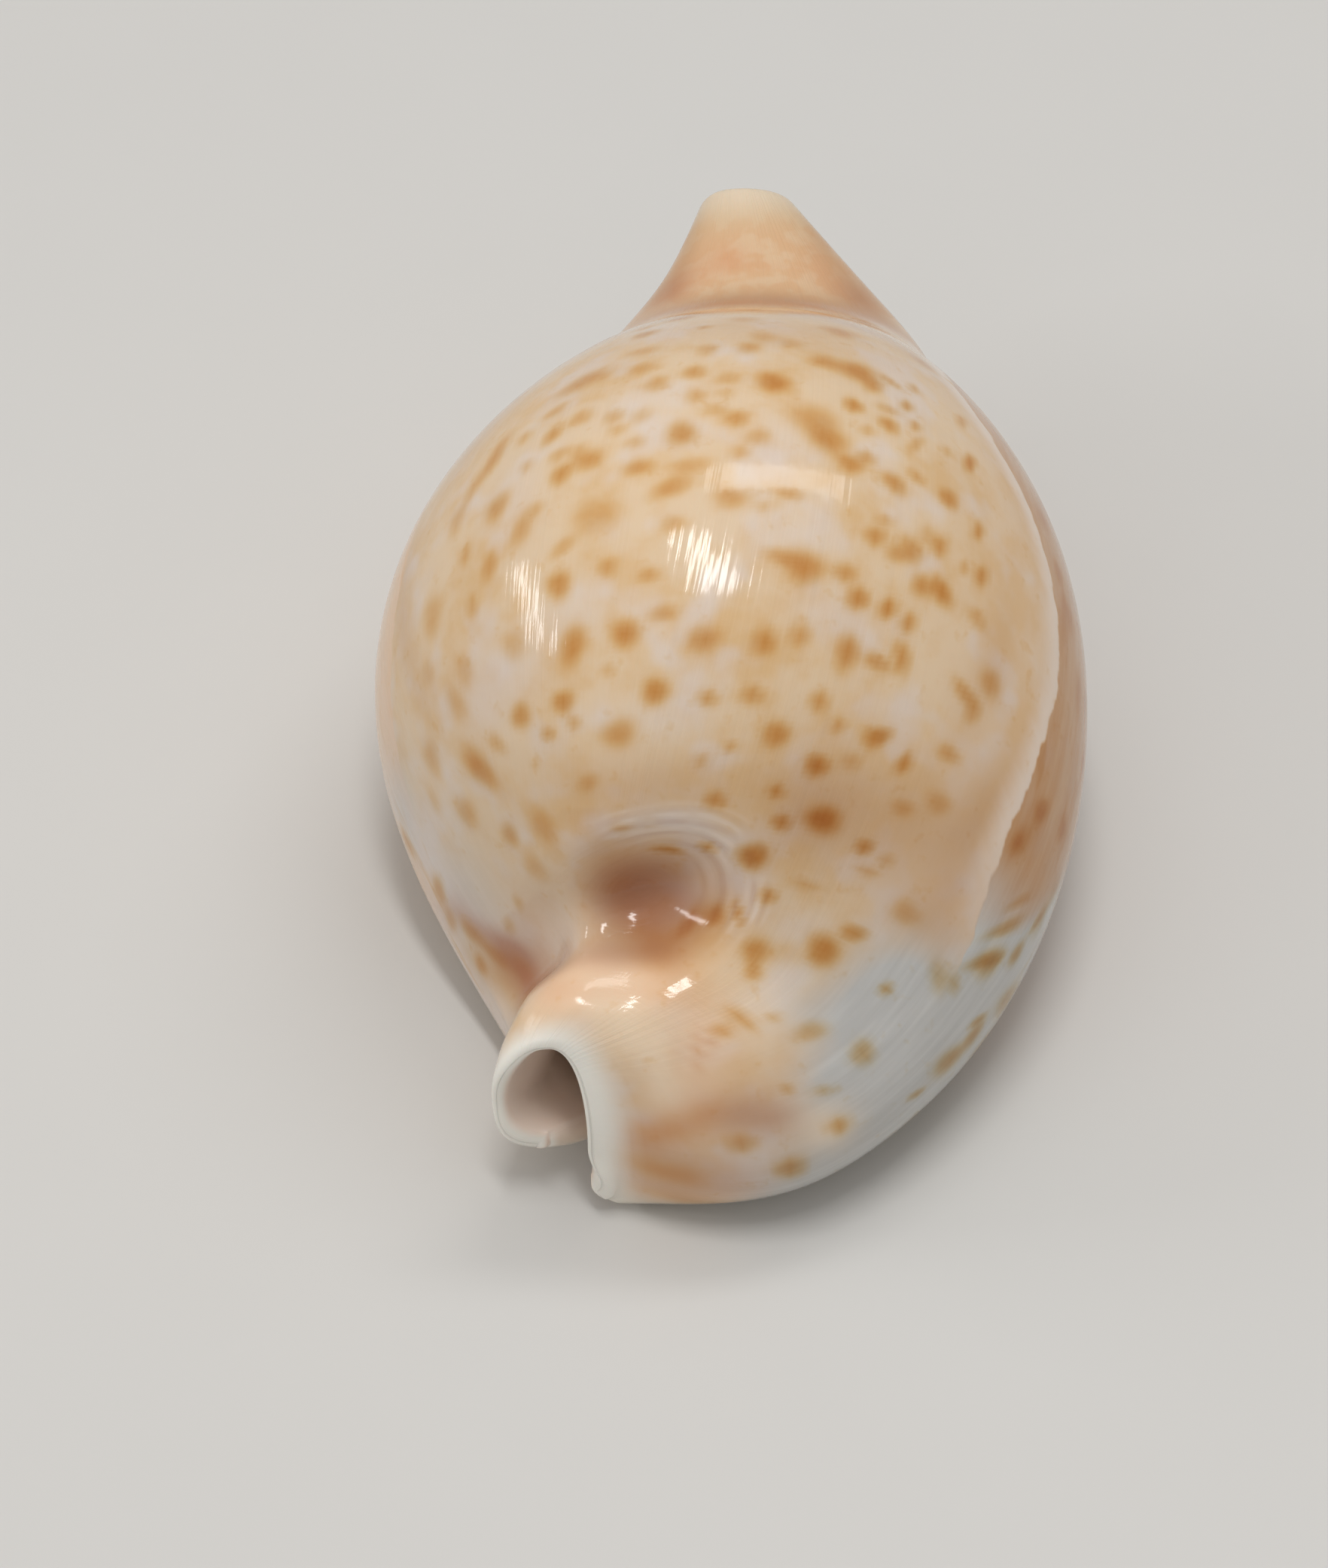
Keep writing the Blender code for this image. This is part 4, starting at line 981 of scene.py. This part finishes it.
# a square grid of quads just under the shell; its colour is the floor's, mixed with a cloud by share * noise
def makeFloor():
    how = studio["floor"]
    n = how["points"]
    side = np.linspace(-how["side"] / 2, how["side"] / 2, n) / mm
    x, y = np.meshgrid(side, side)
    spots = np.stack([x.ravel(), y.ravel(), np.full(n * n, how["height"])], -1)
    k = np.arange(n * n).reshape(n, n)
    quads = np.stack([k[:-1, :-1], k[:-1, 1:], k[1:, 1:], k[1:, :-1]], -1).reshape(-1, 4)
    material, shader, s = startMaterial("palePaper")
    cloud = s.noise(s.node("TexCoord", output=3), how["cloud"]["scale"], 3)
    pale = s.blend(how["colour"], how["cloud"]["colour"], cloud * how["cloud"]["share"])
    s.feed(shader, {"Base Color": pale, "Roughness": how["roughness"]})
    floor = meshPiece("floor", spots, quads.tolist(), {}, material)


# area panels, each at the middle + its distance * its unit direction and facing the middle, and an even world
def makeLights():
    middle = np.array(studio["middle"], float)
    for name, how in studio["panels"].items():
        lamp = bpy.data.lights.new(name, "AREA")
        lamp.shape = "RECTANGLE"
        lamp.size, lamp.size_y = how["size"][0] * mm, how["size"][1] * mm
        lamp.energy = how["power"]
        place = middle + unit(np.array(how["toward"])) * how["away"]
        aimAt(addObject(name, lamp), place.tolist(), middle.tolist(), how["along"])
    world = bpy.data.worlds.new("softRoom")
    world.use_nodes = True
    background = world.node_tree.nodes["Background"]
    background.inputs["Color"].default_value = studio["world"]["colour"]
    background.inputs["Strength"].default_value = studio["world"]["strength"]
    bpy.context.scene.world = world


# the camera at its place, turned to the point it looks at; half its view's tangent is sensor / (2 * lens)
def makeCamera():
    how = studio["camera"]
    camera = addObject("camera", bpy.data.cameras.new("camera"))
    camera.data.lens = how["lens"]
    camera.data.sensor_width = how["sensor"]
    camera.data.clip_start, camera.data.clip_end = how["clip"]
    aimAt(camera, how["place"], how["aim"])
    bpy.context.scene.camera = camera


makeFloor()
makeLights()
makeCamera()
bpy.context.scene.view_settings.view_transform = "Standard"
print("studio set")

bpy.context.view_layer.update()
